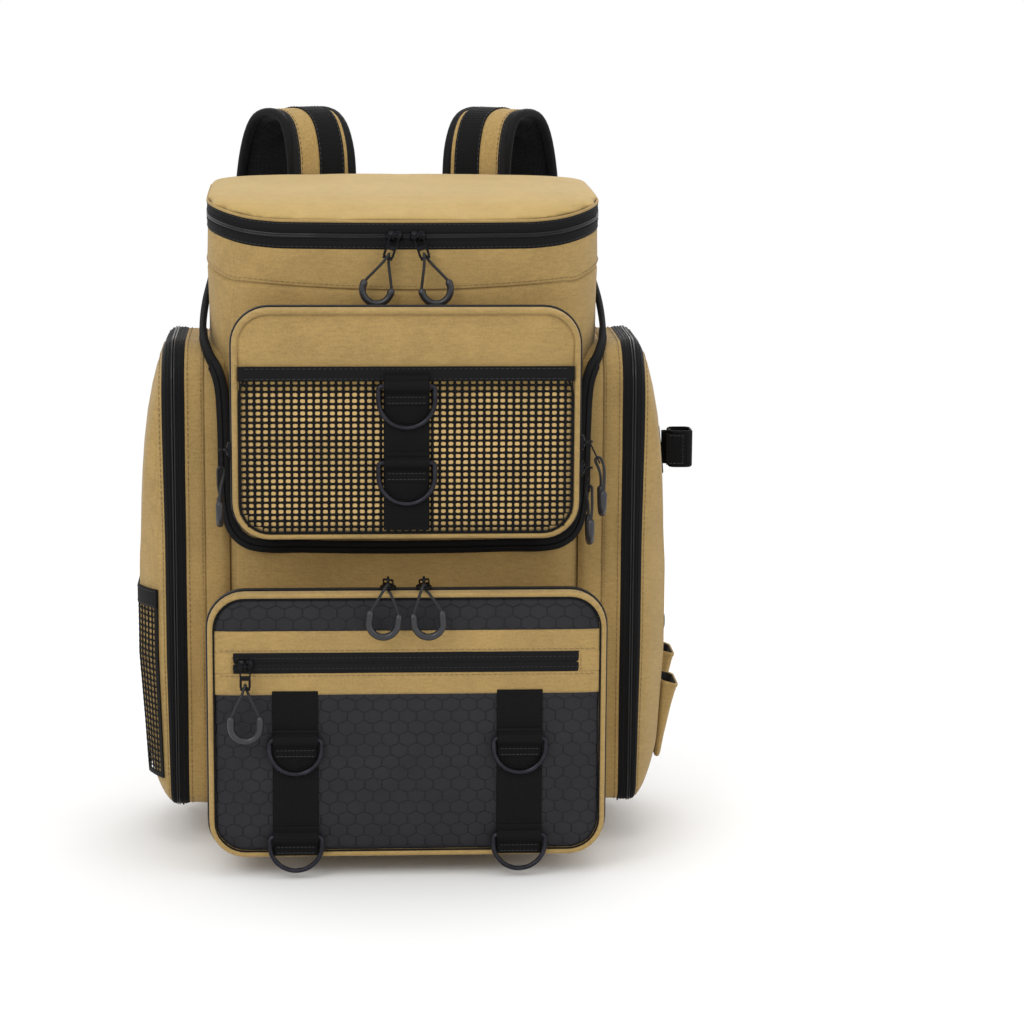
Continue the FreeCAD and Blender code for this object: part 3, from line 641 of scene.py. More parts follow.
def body_loop(inset=0.0, back=70.0):
    """The main compartment's plan as (x, y, outward x, outward y), from its back left round the front."""
    half, corner, bow = HALF_WIDTH - inset, CORNER - inset, BOW - inset
    centre = BOW - APEX
    corner_y = centre - math.sqrt((bow - corner) ** 2 - (half - corner) ** 2)
    turn = math.atan2(half - corner, centre - corner_y)
    side = [(-half, back + (corner_y - back) * i / 12, -1, 0) for i in range(12)]
    bend = []
    for i in range(13):
        angle = math.pi + (math.pi / 2 - turn) * i / 13
        bend.append((corner - half + corner * math.cos(angle), corner_y + corner * math.sin(angle),
                     math.cos(angle), math.sin(angle)))
    bowed = []
    for i in range(21):
        angle = -math.pi / 2 - turn + 2 * turn * i / 40
        bowed.append((bow * math.cos(angle), centre + bow * math.sin(angle),
                      math.cos(angle), math.sin(angle)))
    first = side + bend + bowed
    return first + [(-x, y, -nx, ny) for x, y, nx, ny in reversed(first[:-1])]


def stitches(shape, path, outward, length=2.6, gap=1.5, radius=0.32, number=0):
    """A row of short raised threads along a path."""
    path = [Vector(point) for point in path]
    normals = outward if isinstance(outward, list) else [Vector(outward)] * len(path)
    marks = [0.0]
    for a, b in zip(path, path[1:]):
        marks.append(marks[-1] + (b - a).length)

    def at(distance):
        i = 0
        while i < len(marks) - 2 and marks[i + 1] < distance:
            i += 1
        t = (distance - marks[i]) / max(1e-6, marks[i + 1] - marks[i])
        return path[i].lerp(path[i + 1], t), Vector(normals[i])

    place = gap
    while place + length < marks[-1]:
        (a, out), (b, _) = at(place), at(place + length)
        middle = (a + b) / 2
        shape.tube([a - out * 0.12, middle + out * 0.22, b - out * 0.12], out, radius, sides=5,
                   number=number)
        place += length + gap


# ---------------------------------------------------------------- zip pulls and their cords

PULL_REACH = 7.6
CORD_RADIUS = 1.1
GRIP_HALF_WIDTH = 10.8


def pull_frame(tilt):
    """Along the tab, and square to it, for a tab that leans out by a tilt in degrees."""
    lean = math.radians(tilt)
    return (Vector((0, -math.sin(lean), -math.cos(lean))),
            Vector((0, -math.cos(lean), math.sin(lean))))


def pull_cord_points(tilt):
    """The cord loop's route, the same points as in part.py."""
    along, out = pull_frame(tilt)
    half = GRIP_HALF_WIDTH
    tab_end = along * 21
    bend = along * 13.6
    foot = Vector((0, tab_end.y - 0.8, tab_end.z - 18))
    return [foot + Vector((-half, 0, 0)),
            (foot + tab_end) * 0.5 + Vector((-half * 0.62, -1.0, 0)) + out * 0.8,
            tab_end + Vector((-2.2, 0, 0)) + out * 2.2,
            bend + out * 2.5,
            bend - out * 2.5,
            tab_end + Vector((2.2, 0, 0)) - out * 2.2,
            (foot + tab_end) * 0.5 + Vector((half * 0.62, -1.0, 0)) - out * 0.8,
            foot + Vector((half, 0, 0))]


def make_cord(name, place, tilt):
    """One pull's cord: both its ends go into the grip."""
    curve = bpy.data.curves.new(name, "CURVE")
    curve.dimensions = "3D"
    curve.bevel_depth = CORD_RADIUS * MM
    curve.bevel_resolution = 3
    curve.resolution_u = 8
    curve.use_fill_caps = True
    points = [place @ point for point in pull_cord_points(tilt)]
    spline = curve.splines.new("NURBS")
    spline.points.add(len(points) - 1)
    for knot, point in zip(spline.points, points):
        knot.co = (*(point * MM), 1)
    spline.order_u = 3
    spline.use_endpoint_u = True
    curve.materials.append(cord_black)
    item = bpy.data.objects.new(name + "_braid", curve)
    SCENE.collection.objects.link(item)
    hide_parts(name + "_cord")
    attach(item, name + "_pull")


def make_tab_shape(shape, place, tilt):
    """The metal tab: a rim with two windows, its edges rounded over."""
    along, out = pull_frame(tilt)
    side = Vector((1, 0, 0))

    def at(u, v, w):
        return place @ (side * u - along * v + out * w)

    half, top, foot = 4.2, 0.9, -18
    windows = [(-7, -0.9, 3.0), (-15.4, -10.6, 2.4)]
    bars = [(-0.9, top, half - 0.6), (-10.6, -7, half - 0.1), (foot, -15.4, half - 0.4)]
    for low, high, wide in bars:
        section = [(low + 0.25, -0.6), (high - 0.25, -0.6), (high, -0.3), (high, 0.3),
                   (high - 0.25, 0.6), (low + 0.25, 0.6), (low, 0.3), (low, -0.3)]
        rows = [[at(u, v, w) for v, w in section] for u in (-wide, -wide / 2, 0, wide / 2, wide)]
        shape.grid(rows, around=True, caps=(True, True))
    for low, high, wide in windows:
        for hand in (-1, 1):
            inner, outer = hand * wide, hand * half
            section = [(inner, -0.6), (outer - hand * 0.25, -0.6), (outer, -0.3), (outer, 0.3),
                       (outer - hand * 0.25, 0.6), (inner, 0.6)]
            rows = [[at(u, v, w) for u, w in section]
                    for v in (low - 0.3, (low + high) / 2, high + 0.3)]
            shape.grid(rows, around=True, caps=(True, True))


def make_grip_shape(shape, place, tilt, leg):
    """The U-shaped grip: a moulded tube with thicker, ribbed ends where the cord goes in."""
    points = pull_cord_points(tilt)
    start, end = points[0], points[-1]
    down = Vector((0, 0, -1))
    route = [start + Vector((0, 0, 1.2)), start, start - Vector((0, 0, 1.6)), start + down * leg]
    middle = (start + end) / 2 + down * leg
    for i in range(1, 16):
        angle = math.pi * i / 16
        route.append(middle + Vector((-math.cos(angle), 0, -math.sin(angle))) * GRIP_HALF_WIDTH)
    route += [end + down * leg, end - Vector((0, 0, 1.6)), end, end + Vector((0, 0, 1.2))]
    radii = [1.5, 2.5, 2.9, 2.75] + [2.7] * 15 + [2.75, 2.9, 2.5, 1.5]
    rows = []
    out = Vector((0, -1, 0))
    for i, (point, radius) in enumerate(zip(route, radii)):
        across = direction(route, i).cross(out)
        rows.append([place @ (point + across * a + out * b) for a, b in circle(radius, 14)])
    shape.grid(rows, around=True, caps=(True, True), number=1)


def make_slider_shape(shape, place):
    """A slider on a face that looks to -Y, long across: its waisted body, wings and arched bail."""
    stations = [(-6, 2.6, 2.6), (-5.2, 3.6, 3.4), (-2.5, 3.9, 4.1), (0, 3.2, 4.6), (2.5, 3.9, 4.1),
                (5.2, 3.6, 3.4), (6, 2.6, 2.6)]
    rows = []
    for u, half, high in stations:
        section = [(-half, 0.4), (half, 0.4), (half, high - 1.1), (half - 1.1, high), (0, high + 0.2),
                   (1.1 - half, high), (-half, high - 1.1)]
        rows.append([place @ Vector((u, -w, v)) for v, w in section])
    shape.grid(rows, around=True, caps=(True, True))
    arch = []
    for i in range(9):
        angle = math.pi * i / 8
        arch.append(place @ Vector((0, -4.0 - 5.4 * math.sin(angle), 2.5 * math.cos(angle))))
    shape.sweep(arch, place.to_3x3() @ Vector((1, 0, 0)), circle(1.0, 8))


def zip_set(name, at, facing=(0, 0, 0), splay=0.0, tilt=None, leg=7.0, along_z=False,
            upright=False):
    """A slider and what hangs from it.

    facing turns the slider from a face that looks to -Y. The pull turns with it, unless it is upright.
    """
    turn = Matrix.Identity(4)
    for angle, axis in zip(facing, "XYZ"):
        turn = turned(angle, axis) @ turn
    place = Matrix.Translation(Vector(at)) @ turn
    slider = Shape()
    make_slider_shape(slider, place @ turned(90, "Y") if along_z else place)
    slider.piece(name + "_zip_slider", name + "_slider", [slider_metal], "slider_metal", name + "_slider")
    hang = Matrix.Identity(4) if upright else turn
    pivot = Vector(at) + turn.to_3x3() @ Vector((0, -PULL_REACH, 0))
    swing = Matrix.Translation(pivot) @ hang @ turned(splay, "Y")
    grip = Shape()
    make_tab_shape(grip, swing, tilt)
    make_grip_shape(grip, swing, tilt, leg)
    piece = grip.piece(name + "_grip", name + "_pull", [slider_metal, grip_rubber], "pull_grip",
                       name + "_pull")
    make_cord(name, swing, tilt)


def make_zip_sets():
    for name, x, splay in (("lid_left", -8, 19), ("lid_right", 9.5, -19)):
        zip_set(name, (x, -bow_depth(x), 480), splay=splay, tilt=3, leg=3)
    zip_set("small_zip", (-121.5, -163, 166), tilt=14)
    for name, x, splay in (("lower_left", -14.4, 8), ("lower_right", 12.4, -6)):
        zip_set(name, (x, -152, 220), (-90, 0, 0), splay, 80, upright=True)
    for name, hand, height, tilt in (("upper_left", -1, 322, 3), ("upper_right", 1, 327, 26),
                                     ("upper_spare", 1, 307, 0)):
        zip_set(name, (hand * 131, -122, height), (0, 0, 90 * hand), tilt=tilt, along_z=True)


make_camera()
make_studio()
make_zip_sets()

# ---------------------------------------------------------------- main compartment

def on_front(u0, u1, v0, v1, radius, depth, nu, nv, shape=None):
    """A sheet with round corners; depth(u, v, edge) gives its height, edge the distance from its rim."""
    cu, cv, hu, hv = (u0 + u1) / 2, (v0 + v1) / 2, (u1 - u0) / 2, (v1 - v0) / 2
    rows = []
    for j in range(nv + 1):
        row = []
        for i in range(nu + 1):
            u, v = hu * (2 * i / nu - 1), hv * (2 * j / nv - 1)
            du, dv = abs(u) - (hu - radius), abs(v) - (hv - radius)
            edge = min(hu - abs(u), hv - abs(v))
            if du > 0 and dv > 0:
                pull = max(du, dv) / math.hypot(du, dv)
                u = math.copysign(hu - radius + du * pull, u)
                v = math.copysign(hv - radius + dv * pull, v)
                edge = radius - max(du, dv)
            row.append(front(cu + u, cv + v, depth(cu + u, cv + v, edge)))
        rows.append(row)
    return (shape or Shape()).grid(rows)


def thicken(item, thickness):
    """Give an open sheet its thickness, in millimetres."""
    solid = item.modifiers.new("thickness", "SOLIDIFY")
    solid.thickness = thickness * MM
    solid.offset = -1


POCKET_CORNER = 28      # the front pockets' corner radius


def ring_loft(shape, profile, box, wobble=0.0):
    """A band around a front pocket. profile lists (inset, depth) or (inset, depth, sag of the top)."""
    rows = []
    for inset, depth, *sag in profile:
        row = []
        for u, v, nu, nv in inset_loop(box, inset, POCKET_CORNER, sag[0] if sag else 0.0):
            lift = ripple((u, v, depth * 1.3), 38, wobble) if wobble else 0.0
            row.append(front(u + nu * lift, v + nv * lift, depth))
        rows.append(row)
    shape.grid(rows, around=True, closed=True)


def loop_path(box, radius, inset, depth, place):
    """A closed path around a rounded rectangle, with its outward directions."""
    loop = inset_loop(box, inset, radius)
    origin = place(0, 0, 0)
    return ([place(u, v, depth) for u, v, _, _ in loop],
            [place(nu, nv, 0) - origin for _, _, nu, nv in loop])


def seam_height(x, y):
    """The yoke's seam: nearly level across the front, then climbing round the corners."""
    return 438.5 + 5 * (min(120.0, abs(x)) / 120) ** 2 + 13 * (1 - math.exp(-max(0.0, y + 72) / 26))


def plan_loop(inset=0.0, soft=7.0):
    """The main compartment's plan, with its two back corners softened."""
    half, back = HALF_WIDTH - inset, 70.0
    loop = body_loop(inset, back - soft)
    turns = [math.radians(90 - 15 * i) for i in range(6)]
    corner = [(-half + soft - soft * math.cos(a), back - soft + soft * math.sin(a),
               -math.cos(a), math.sin(a)) for a in turns]
    flat = [(-(half - soft) * k / 6, back, 0, 1) for k in range(1, 6)]
    start = flat + corner
    return start + loop + [(-x, y, -nx, ny) for x, y, nx, ny in reversed(start)]


def body_ring(height, proud, inset=0.0, wobble=1.0):
    """One ring of the shell, waving in and out except near its rim, its foot and its back."""
    row = []
    for x, y, nx, ny in plan_loop(inset):
        z = height(x, y) if callable(height) else height
        calm = min(1.0, max(0.0, (468 + zip_rise(y) - z) / 30)) * min(1.0, z / 20)
        calm *= min(1.0, max(0.0, (66 - y) / 20))
        lift = proud + max(-1.8, ripple((x, y, z * 0.7), 46, wobble)) * calm
        row.append((x + nx * lift, y + ny * lift, z))
    return row


def make_body():
    """The fabric shell: yoke above the seam, lined inside, with a flat base."""
    shape = Shape()
    rows = [body_ring(0.4, 0, 14, 0), body_ring(0, 0, 6, 0), body_ring(1, 0, 2.4, 0),
            body_ring(3.5, 0, 0.6, 0)]
    rows += [body_ring(z, 0) for z in (9, 20, 45, 75, 105, 135, 165, 195, 225, 255, 285, 315, 345, 370)]
    for below, proud in ((45, -0.4), (28, -0.2), (16, 0.2), (8, 0.5), (3.5, 0.7), (1.6, 0.3),
                         (0.7, -0.7), (0, -0.9), (-0.5, 0.2), (-1.2, 0.9), (-3, 1.0), (-6, 0.8)):
        rows.append(body_ring(lambda x, y, d=below: seam_height(x, y) - d, proud))
    top = body_ring(lambda x, y: 471.5 + zip_rise(y), -0.6, 0.6)
    rows.append(body_ring(lambda x, y: (seam_height(x, y) + 2 * (469 + zip_rise(y))) / 3, 0.5))
    rows.append(body_ring(lambda x, y: 469 + zip_rise(y), 0.3))
    rows.append(top)
    shape.grid(rows, around=True, caps=(True, False))
    inner = [top, body_ring(lambda x, y: 471.5 + zip_rise(y), 0, 2.8, 0)]
    inner += [body_ring(z, 0, 3.2, 0) for z in (460, 400, 300, 200, 100, 30, 8)]
    inner.append(body_ring(4, 0, 8, 0))
    shape.grid(inner, around=True, caps=(False, True), number=1)
    shape.piece("body_fabric", "pack", [tan, lining], "tan_fabric", "main_shell")
    seam = Shape()
    path = [(x + nx * 1.15, y + ny * 1.15, seam_height(x, y) + 3.2) for x, y, nx, ny in body_loop(0, SEAM_BACK)]
    out = [(nx, ny, 0) for _, _, nx, ny in body_loop(0, SEAM_BACK)]
    stitches(seam, path, out, length=2.8, gap=1.4, radius=0.26)
    seam.piece("yoke_stitching", "pack", [tan_thread], "tan_fabric")


def lid_tape(name, body, replaced, low, high, coil_at, edge_at):
    """One half of the lid's zip: its tape, a raised line beside the teeth, and the coil."""
    shape = Shape()
    loop = [p for p in body_loop(0, SEAM_BACK) if p[1] < SEAM_BACK - 0.5]
    middle, half = (low + high) / 2, (high - low) / 2
    out = [(nx, ny, 0) for _, _, nx, ny in loop]
    away = -1 if coil_at > middle else 1

    def raised(lift, height):
        return [(x + nx * lift, y + ny * lift, height + zip_rise(y)) for x, y, nx, ny in loop]

    section = [(-half, -2.0), (half, -2.0), (half, 0.1), (half - 0.6, 0.55), (1.0, 0.75), (0.0, 0.85),
               (-1.0, 0.75), (0.6 - half, 0.55), (-half, 0.1)]
    shape.sweep(raised(0, middle), out, section)
    shape.sweep(raised(0.62, middle - away * half * 0.45), out,
                [(-0.7, 0), (0.7, 0), (0.4, 0.5), (-0.4, 0.5)])
    shape.tube(raised(0.5, coil_at), out, 0.75, sides=8, number=1)
    stitches(shape, raised(0.66, edge_at), out, length=2.4, gap=1.2, radius=0.24, number=2)
    shape.piece(name, body, [tape, coil, black_thread], "black_tape", replaced)


def simulate(item, voxel, cap):
    """Swell a closed piece as stuffed cloth. No point moves further than cap millimetres."""
    pressure, smoothing_rounds = 4.0, 3
    remesh = item.modifiers.new("remesh", "REMESH")
    remesh.mode = "VOXEL"
    remesh.voxel_size = voxel * MM
    settle(item)
    start = [vertex.co.copy() for vertex in item.data.vertices]
    cloth = item.modifiers.new("cloth", "CLOTH")
    cloth.settings.use_pressure = True
    cloth.settings.uniform_pressure_force = pressure
    cloth.settings.effector_weights.gravity = 0
    for step in range(1, 21):
        SCENE.frame_set(step)
    swollen = item.evaluated_get(bpy.context.evaluated_depsgraph_get()).data
    moved = [vertex.co.copy() for vertex in swollen.vertices]
    item.modifiers.remove(cloth)
    SCENE.frame_set(1)
    for vertex, old, new in zip(item.data.vertices, start, moved):
        step = new - old
        if step.length > cap * MM:
            step = step.normalized() * cap * MM
        vertex.co = old + step
    edit = bmesh.new()
    edit.from_mesh(item.data)
    for _ in range(smoothing_rounds):
        bmesh.ops.smooth_vert(edit, verts=edit.verts, factor=0.5, use_axis_x=True, use_axis_y=True,
                              use_axis_z=True)
    edit.to_mesh(item.data)
    edit.free()
    item.data.shade_smooth()
    finer = item.modifiers.new("finer", "SUBSURF")
    finer.levels = finer.render_levels = 1
    settle(item)


def settle(item):
    """Apply all the modifiers to the mesh."""
    bpy.context.view_layer.update()
    graph = bpy.context.evaluated_depsgraph_get()
    mesh = bpy.data.meshes.new_from_object(item.evaluated_get(graph))
    item.modifiers.clear()
    old, item.data = item.data, mesh
    mesh.name = item.name
    bpy.data.meshes.remove(old)


def lid_edge(y):
    """The height of the lid's sewn edge, which rises round the corners with its zip."""
    return 490.6 + zip_rise(y) * 0.96


def make_lid():
    """The lid's soft panel, low and slightly crowned, and the cord sewn round its edge."""
    shape = Shape()

    def ring(inset, height, share=1.0):
        row = []
        for x, y, nx, ny in plan_loop(inset, soft=4):
            x += nx * 2.4
            row.append((x * share, (y + 8) * share - 8, height(x * share, (y + 8) * share - 8)))
        return row

    def top(rise):
        def height(x, y):
            ridge = 4.0 * math.exp(-((y - 52) / 42) ** 2) * (1 - (x / 168) ** 2)
            return lid_edge(y) + rise + ridge * min(1.0, max(0.0, rise) / 3.5)
        return height

    rows = [ring(40, top(-7), 0.5), ring(9, top(-7)), ring(4.2, top(-5)),
            ring(3.0, top(-1.5)), ring(-0.8, top(-0.4)), ring(-2.2, top(0.8)), ring(-1.6, top(2.4)),
            ring(3, top(3.4)), ring(10, top(4.0)), ring(20, top(4.5)), ring(36, top(4.8))]
    rows += [ring(40, top(5.0), share) for share in (0.85, 0.65, 0.45, 0.25)]
    shape.grid(rows, around=True, caps=(True, True))
    # The lid's fabric is painted lighter than the body's: painted light on its top.
    item = shape.piece("lid_fabric", None, [tan_lid_painted_light], "tan_fabric")
    simulate(item, voxel=4, cap=2.2)
    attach(item, "lid")
    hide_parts("lid_panel")
    edge = Shape()
    loop = body_loop(0, SEAM_BACK)
    path = [(x + nx * 0.1, y + ny * 0.1, lid_edge(y)) for x, y, nx, ny in loop]
    out = [(nx, ny, 0) for _, _, nx, ny in loop]
    edge.tube(path, out, 1.15, sides=10)
    edge.piece("lid_edge_cord", "lid", [tan], "tan_fabric")


# ---------------------------------------------------------------- front pockets

def pocket_zip(name, box, seam, door):
    """The two halves of a pocket's zip, around its rim: each a tape and a line of teeth."""
    for half, body, low, high, teeth in (("fixed", "pack", seam - 5.5, seam - 0.3, seam - 0.9),
                                         ("door", door, seam + 0.2, seam + 2.6, seam + 0.8)):
        shape = Shape()
        path, out = loop_path(box, POCKET_CORNER, 0, (low + high) / 2, front)
        wide = high - low
        shape.sweep(path, out, [(-wide / 2, -1.2), (wide / 2, -1.2), (wide / 2, 0.5),
                                (wide / 2 - 0.4, 0.8), (0.4 - wide / 2, 0.8), (-wide / 2, 0.5)],
                    closed=True)
        path, out = loop_path(box, POCKET_CORNER, -0.8, teeth, front)
        shape.tube(path, out, 0.6, closed=True, sides=6, number=1)
        shape.piece(f"{name}_zip_{half}", body, [tape, coil], "black_tape")


def make_upper_pocket():
    """The upper pocket: its side, zip, piping, face, and the slip pocket of netting."""
    low, high = box_mm("upper_panel")
    box = (low.x, high.x, low.z, high.z)
    seam, face = -high.y, -low.y
    shape = Shape()
    sag = 30
    profile = [(0.4, d, sag * (seam - d) / 47) for d in (seam - 44, seam - 38, seam - 30, seam - 22,
                                                        seam - 14, seam - 7)]
    profile += [(0, seam - 5, 3), (0, seam - 0.6, 0.4), (2.6, seam - 0.6, 0.4), (3.2, seam - 5, 3)]
    profile += [(3.2, seam - 22, sag * 22 / 47), (3.4, seam - 44, sag * 44 / 47)]
    ring_loft(shape, profile, box, wobble=0.9)
    shape.piece("upper_pocket_side", "pack", [tan], "tan_fabric", "upper_pocket_gusset")
    pocket_zip("upper_pocket", box, seam, "upper_door")

    rim = Shape()
    ring_loft(rim, [(3, seam + 0.4), (0.2, seam + 0.4), (0, seam + 2.5), (0.1, face - 4.5), (0.9, face - 2.8),
                    (3.2, face - 2.0), (7, face - 2.2), (7, face - 3.6), (3.4, face - 3.8), (3, seam + 2)],
              box)
    path, _ = loop_path(box, POCKET_CORNER, 2.7, face - 1.9, front)
    rim.tube(path, (0, -1, 0), 2.35, closed=True, sides=12)
    rim.piece("upper_pocket_piping", "upper_door", [tan], "tan_fabric")

    def depth(u, v, edge):
        puff = 1 - math.exp(-max(0.0, edge) / 7)
        calm = 1.0 if v < 388 else 0.0
        crown = (1 - calm) * 1.6 * math.sin(math.pi * min(1.0, max(0.0, (v - 388) / 36)))
        return face - 2.6 + 2.0 * puff + crown + ripple((u, v, 4), 30, 0.35) * puff
    sheet = on_front(low.x + 4, high.x - 4, low.z + 4, high.z - 4, 24, depth, nu=72, nv=50)
    item = sheet.piece("upper_pocket_face", "upper_door", [tan], "tan_fabric")
    thicken(item, 1.6)
    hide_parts("upper_panel")
    # A brighter tan sheet just above the face under the net: painted light against the shade in the net's
    # openings.
    backing = on_front(-124.5, 124.5, 259.8, 379, 23, lambda u, v, edge: depth(u, v, edge + 3) + 0.25,
                       nu=60, nv=30)
    thicken(backing.piece("upper_net_backing_painted_light", "upper_door", [tan_backing_painted_light], "tan_fabric"), 0.2)
    make_net("upper_net", "upper_door", (-125, 125, 259.5, 376.5), 23, face - 0.2, front,
             "upper_mesh_pocket", (5.6, 4.6))
    band = Shape()
    bind_path = [(x, -(face + 0.9 + 0.3 * math.cos(x / 60)), 380.6) for x in range(-126, 127, 4)]
    band.sweep(bind_path, (0, -1, 0), strip(11.2, 1.5, -0.6))
    for z in (376.9, 384.6):
        stitches(band, [(x, -(face + 1.82), z) for x in range(-122, 123, 4)], (0, -1, 0), 2.6, 1.3, 0.27,
                 number=1)
    band.piece("upper_net_binding", "upper_door", [binding, black_thread], "black_tape")
    rim_band = Shape()
    path, _ = loop_path((-125.2, 125.2, 259.2, 386), 23, 0, face - 0.4, front)
    cut = [p for p in path if p.z < 378]
    start = max(range(len(cut)), key=lambda i: (cut[i] - cut[i - 1]).length)
    rim_band.sweep(cut[start:] + cut[:start], (0, -1, 0), strip(1.7, 1.0, -0.3))
    rim_band.piece("upper_net_edge", "upper_door", [binding], "black_tape")
    make_webbing("upper_webbing_strip", "upper_door", 0, 262, 385.5, face + 1.5, (372, 314),
                 "upper_webbing")


def make_net(name, body, box, radius, depth, place, node, pitch, bulge=0.5):
    """A knitted net: a plate whose openings are cut cell by cell, each strand raised in its middle."""
    u0, u1, v0, v1 = box
    across, up = pitch
    count_u, count_v = round((u1 - u0) / across), round((v1 - v0) / up)
    step_u, step_v = (u1 - u0) / count_u, (v1 - v0) / count_v
    shape = Shape()
    sides = 12
    for i in range(count_u):
        for j in range(count_v):
            cu, cv = u0 + (i + 0.5) * step_u, v0 + (j + 0.5) * step_v
            du = abs(cu - (u0 + u1) / 2) - ((u1 - u0) / 2 - radius)
            dv = (v0 + radius) - cv
            if du > 0 and dv > 0 and math.hypot(du, dv) > radius - 1:
                continue
            inner, outer = [], []
            for k in range(sides):
                angle = 2 * math.pi * (k + 0.5) / sides
                c, s = math.cos(angle), math.sin(angle)
                grow = 1 / max(abs(c), abs(s))
                round_off = 1 / (abs(c) ** 3.4 + abs(s) ** 3.4) ** (1 / 3.4)
                waver = 1 + 0.07 * noise.noise(Vector((cu, cv, k * 0.4)) * 0.9)
                hu, hv = step_u * 0.375 * round_off * waver, step_v * 0.375 * round_off * waver
                sink = ripple((cu, cv, 2), 26, bulge)
                inner.append(place(cu + hu * c, cv + hv * s, depth + sink - 0.15))
                corner = 0.42 if abs(abs(c) - abs(s)) < 0.4 else 0.2
                pu, pv = cu + step_u / 2 * grow * c, cv + step_v / 2 * grow * s
                outer.append(place(pu, pv, depth + ripple((pu, pv, 2), 26, bulge) + corner))
            shape.grid([outer, inner], around=True)
    item = shape.piece(name, body, [net], "black_mesh")
    thicken(item, 0.55)
    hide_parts(node)


def make_webbing(name, body, centre, bottom, top, surface, bars, node=None):
    """A sewn strip of webbing, with a folded loop around each ring's bar and stitched bars."""
    shape = Shape()
    half = 17.2
    path = [(centre, -(surface + 0.25 * math.sin(z * 0.21)), z) for z in range(int(bottom), int(top) + 1, 4)]
    shape.sweep(path, (0, -1, 0), strip(half * 2, 1.6))
    for bar in bars:
        fold = [(bar + 7.5, 1.7), (bar + 5.2, 3.0), (bar + 3.2, 6.4), (bar + 1.2, 7.8), (bar - 1.2, 7.7),
                (bar - 3.2, 6.2), (bar - 5.4, 3.6), (bar - 8, 2.3), (bar - 14.5, 2.1)]
        fold = smooth_path([(centre, -(surface + w), z) for z, w in fold], 4)
        outs = [Vector((1, 0, 0)).cross(direction(fold, i)).normalized() for i in range(len(fold))]
        outs = [out if out.y < 0.3 else -out for out in outs]
        shape.sweep(fold, outs, strip(half * 2 - 0.6, 1.5, -0.9))
        for z in (bar - 8.5, bar - 13):
            stitches(shape, [(centre + x, -(surface + 2.75), z) for x in range(-15, 16, 3)], (0, -1, 0),
                     2.0, 0.9, 0.3, number=1)
    shape.piece(name, body, [webbing, black_thread], "black_webbing", node)


def slab(shape, u0, u1, v0, v1, low, high, place):
    """A thin sewn patch: flat, with its edges rolled down."""
    lip, steps = 0.5, 24
    rows = []
    for inset, depth in ((0, low), (0, high - 0.5), (lip, high), (lip * 2.5, high + 0.15)):
        row = []
        for a, b in ((0, 1), (1, 2), (2, 3), (3, 0)):
            corners = [(u0 + inset, v0 + inset), (u1 - inset, v0 + inset), (u1 - inset, v1 - inset),
                       (u0 + inset, v1 - inset)]
            (pu, pv), (qu, qv) = corners[a], corners[b]
            row += [place(pu + (qu - pu) * k / steps, pv + (qv - pv) * k / steps, depth)
                    for k in range(steps)]
        rows.append(row)
    shape.grid(rows, around=True, caps=(True, True))


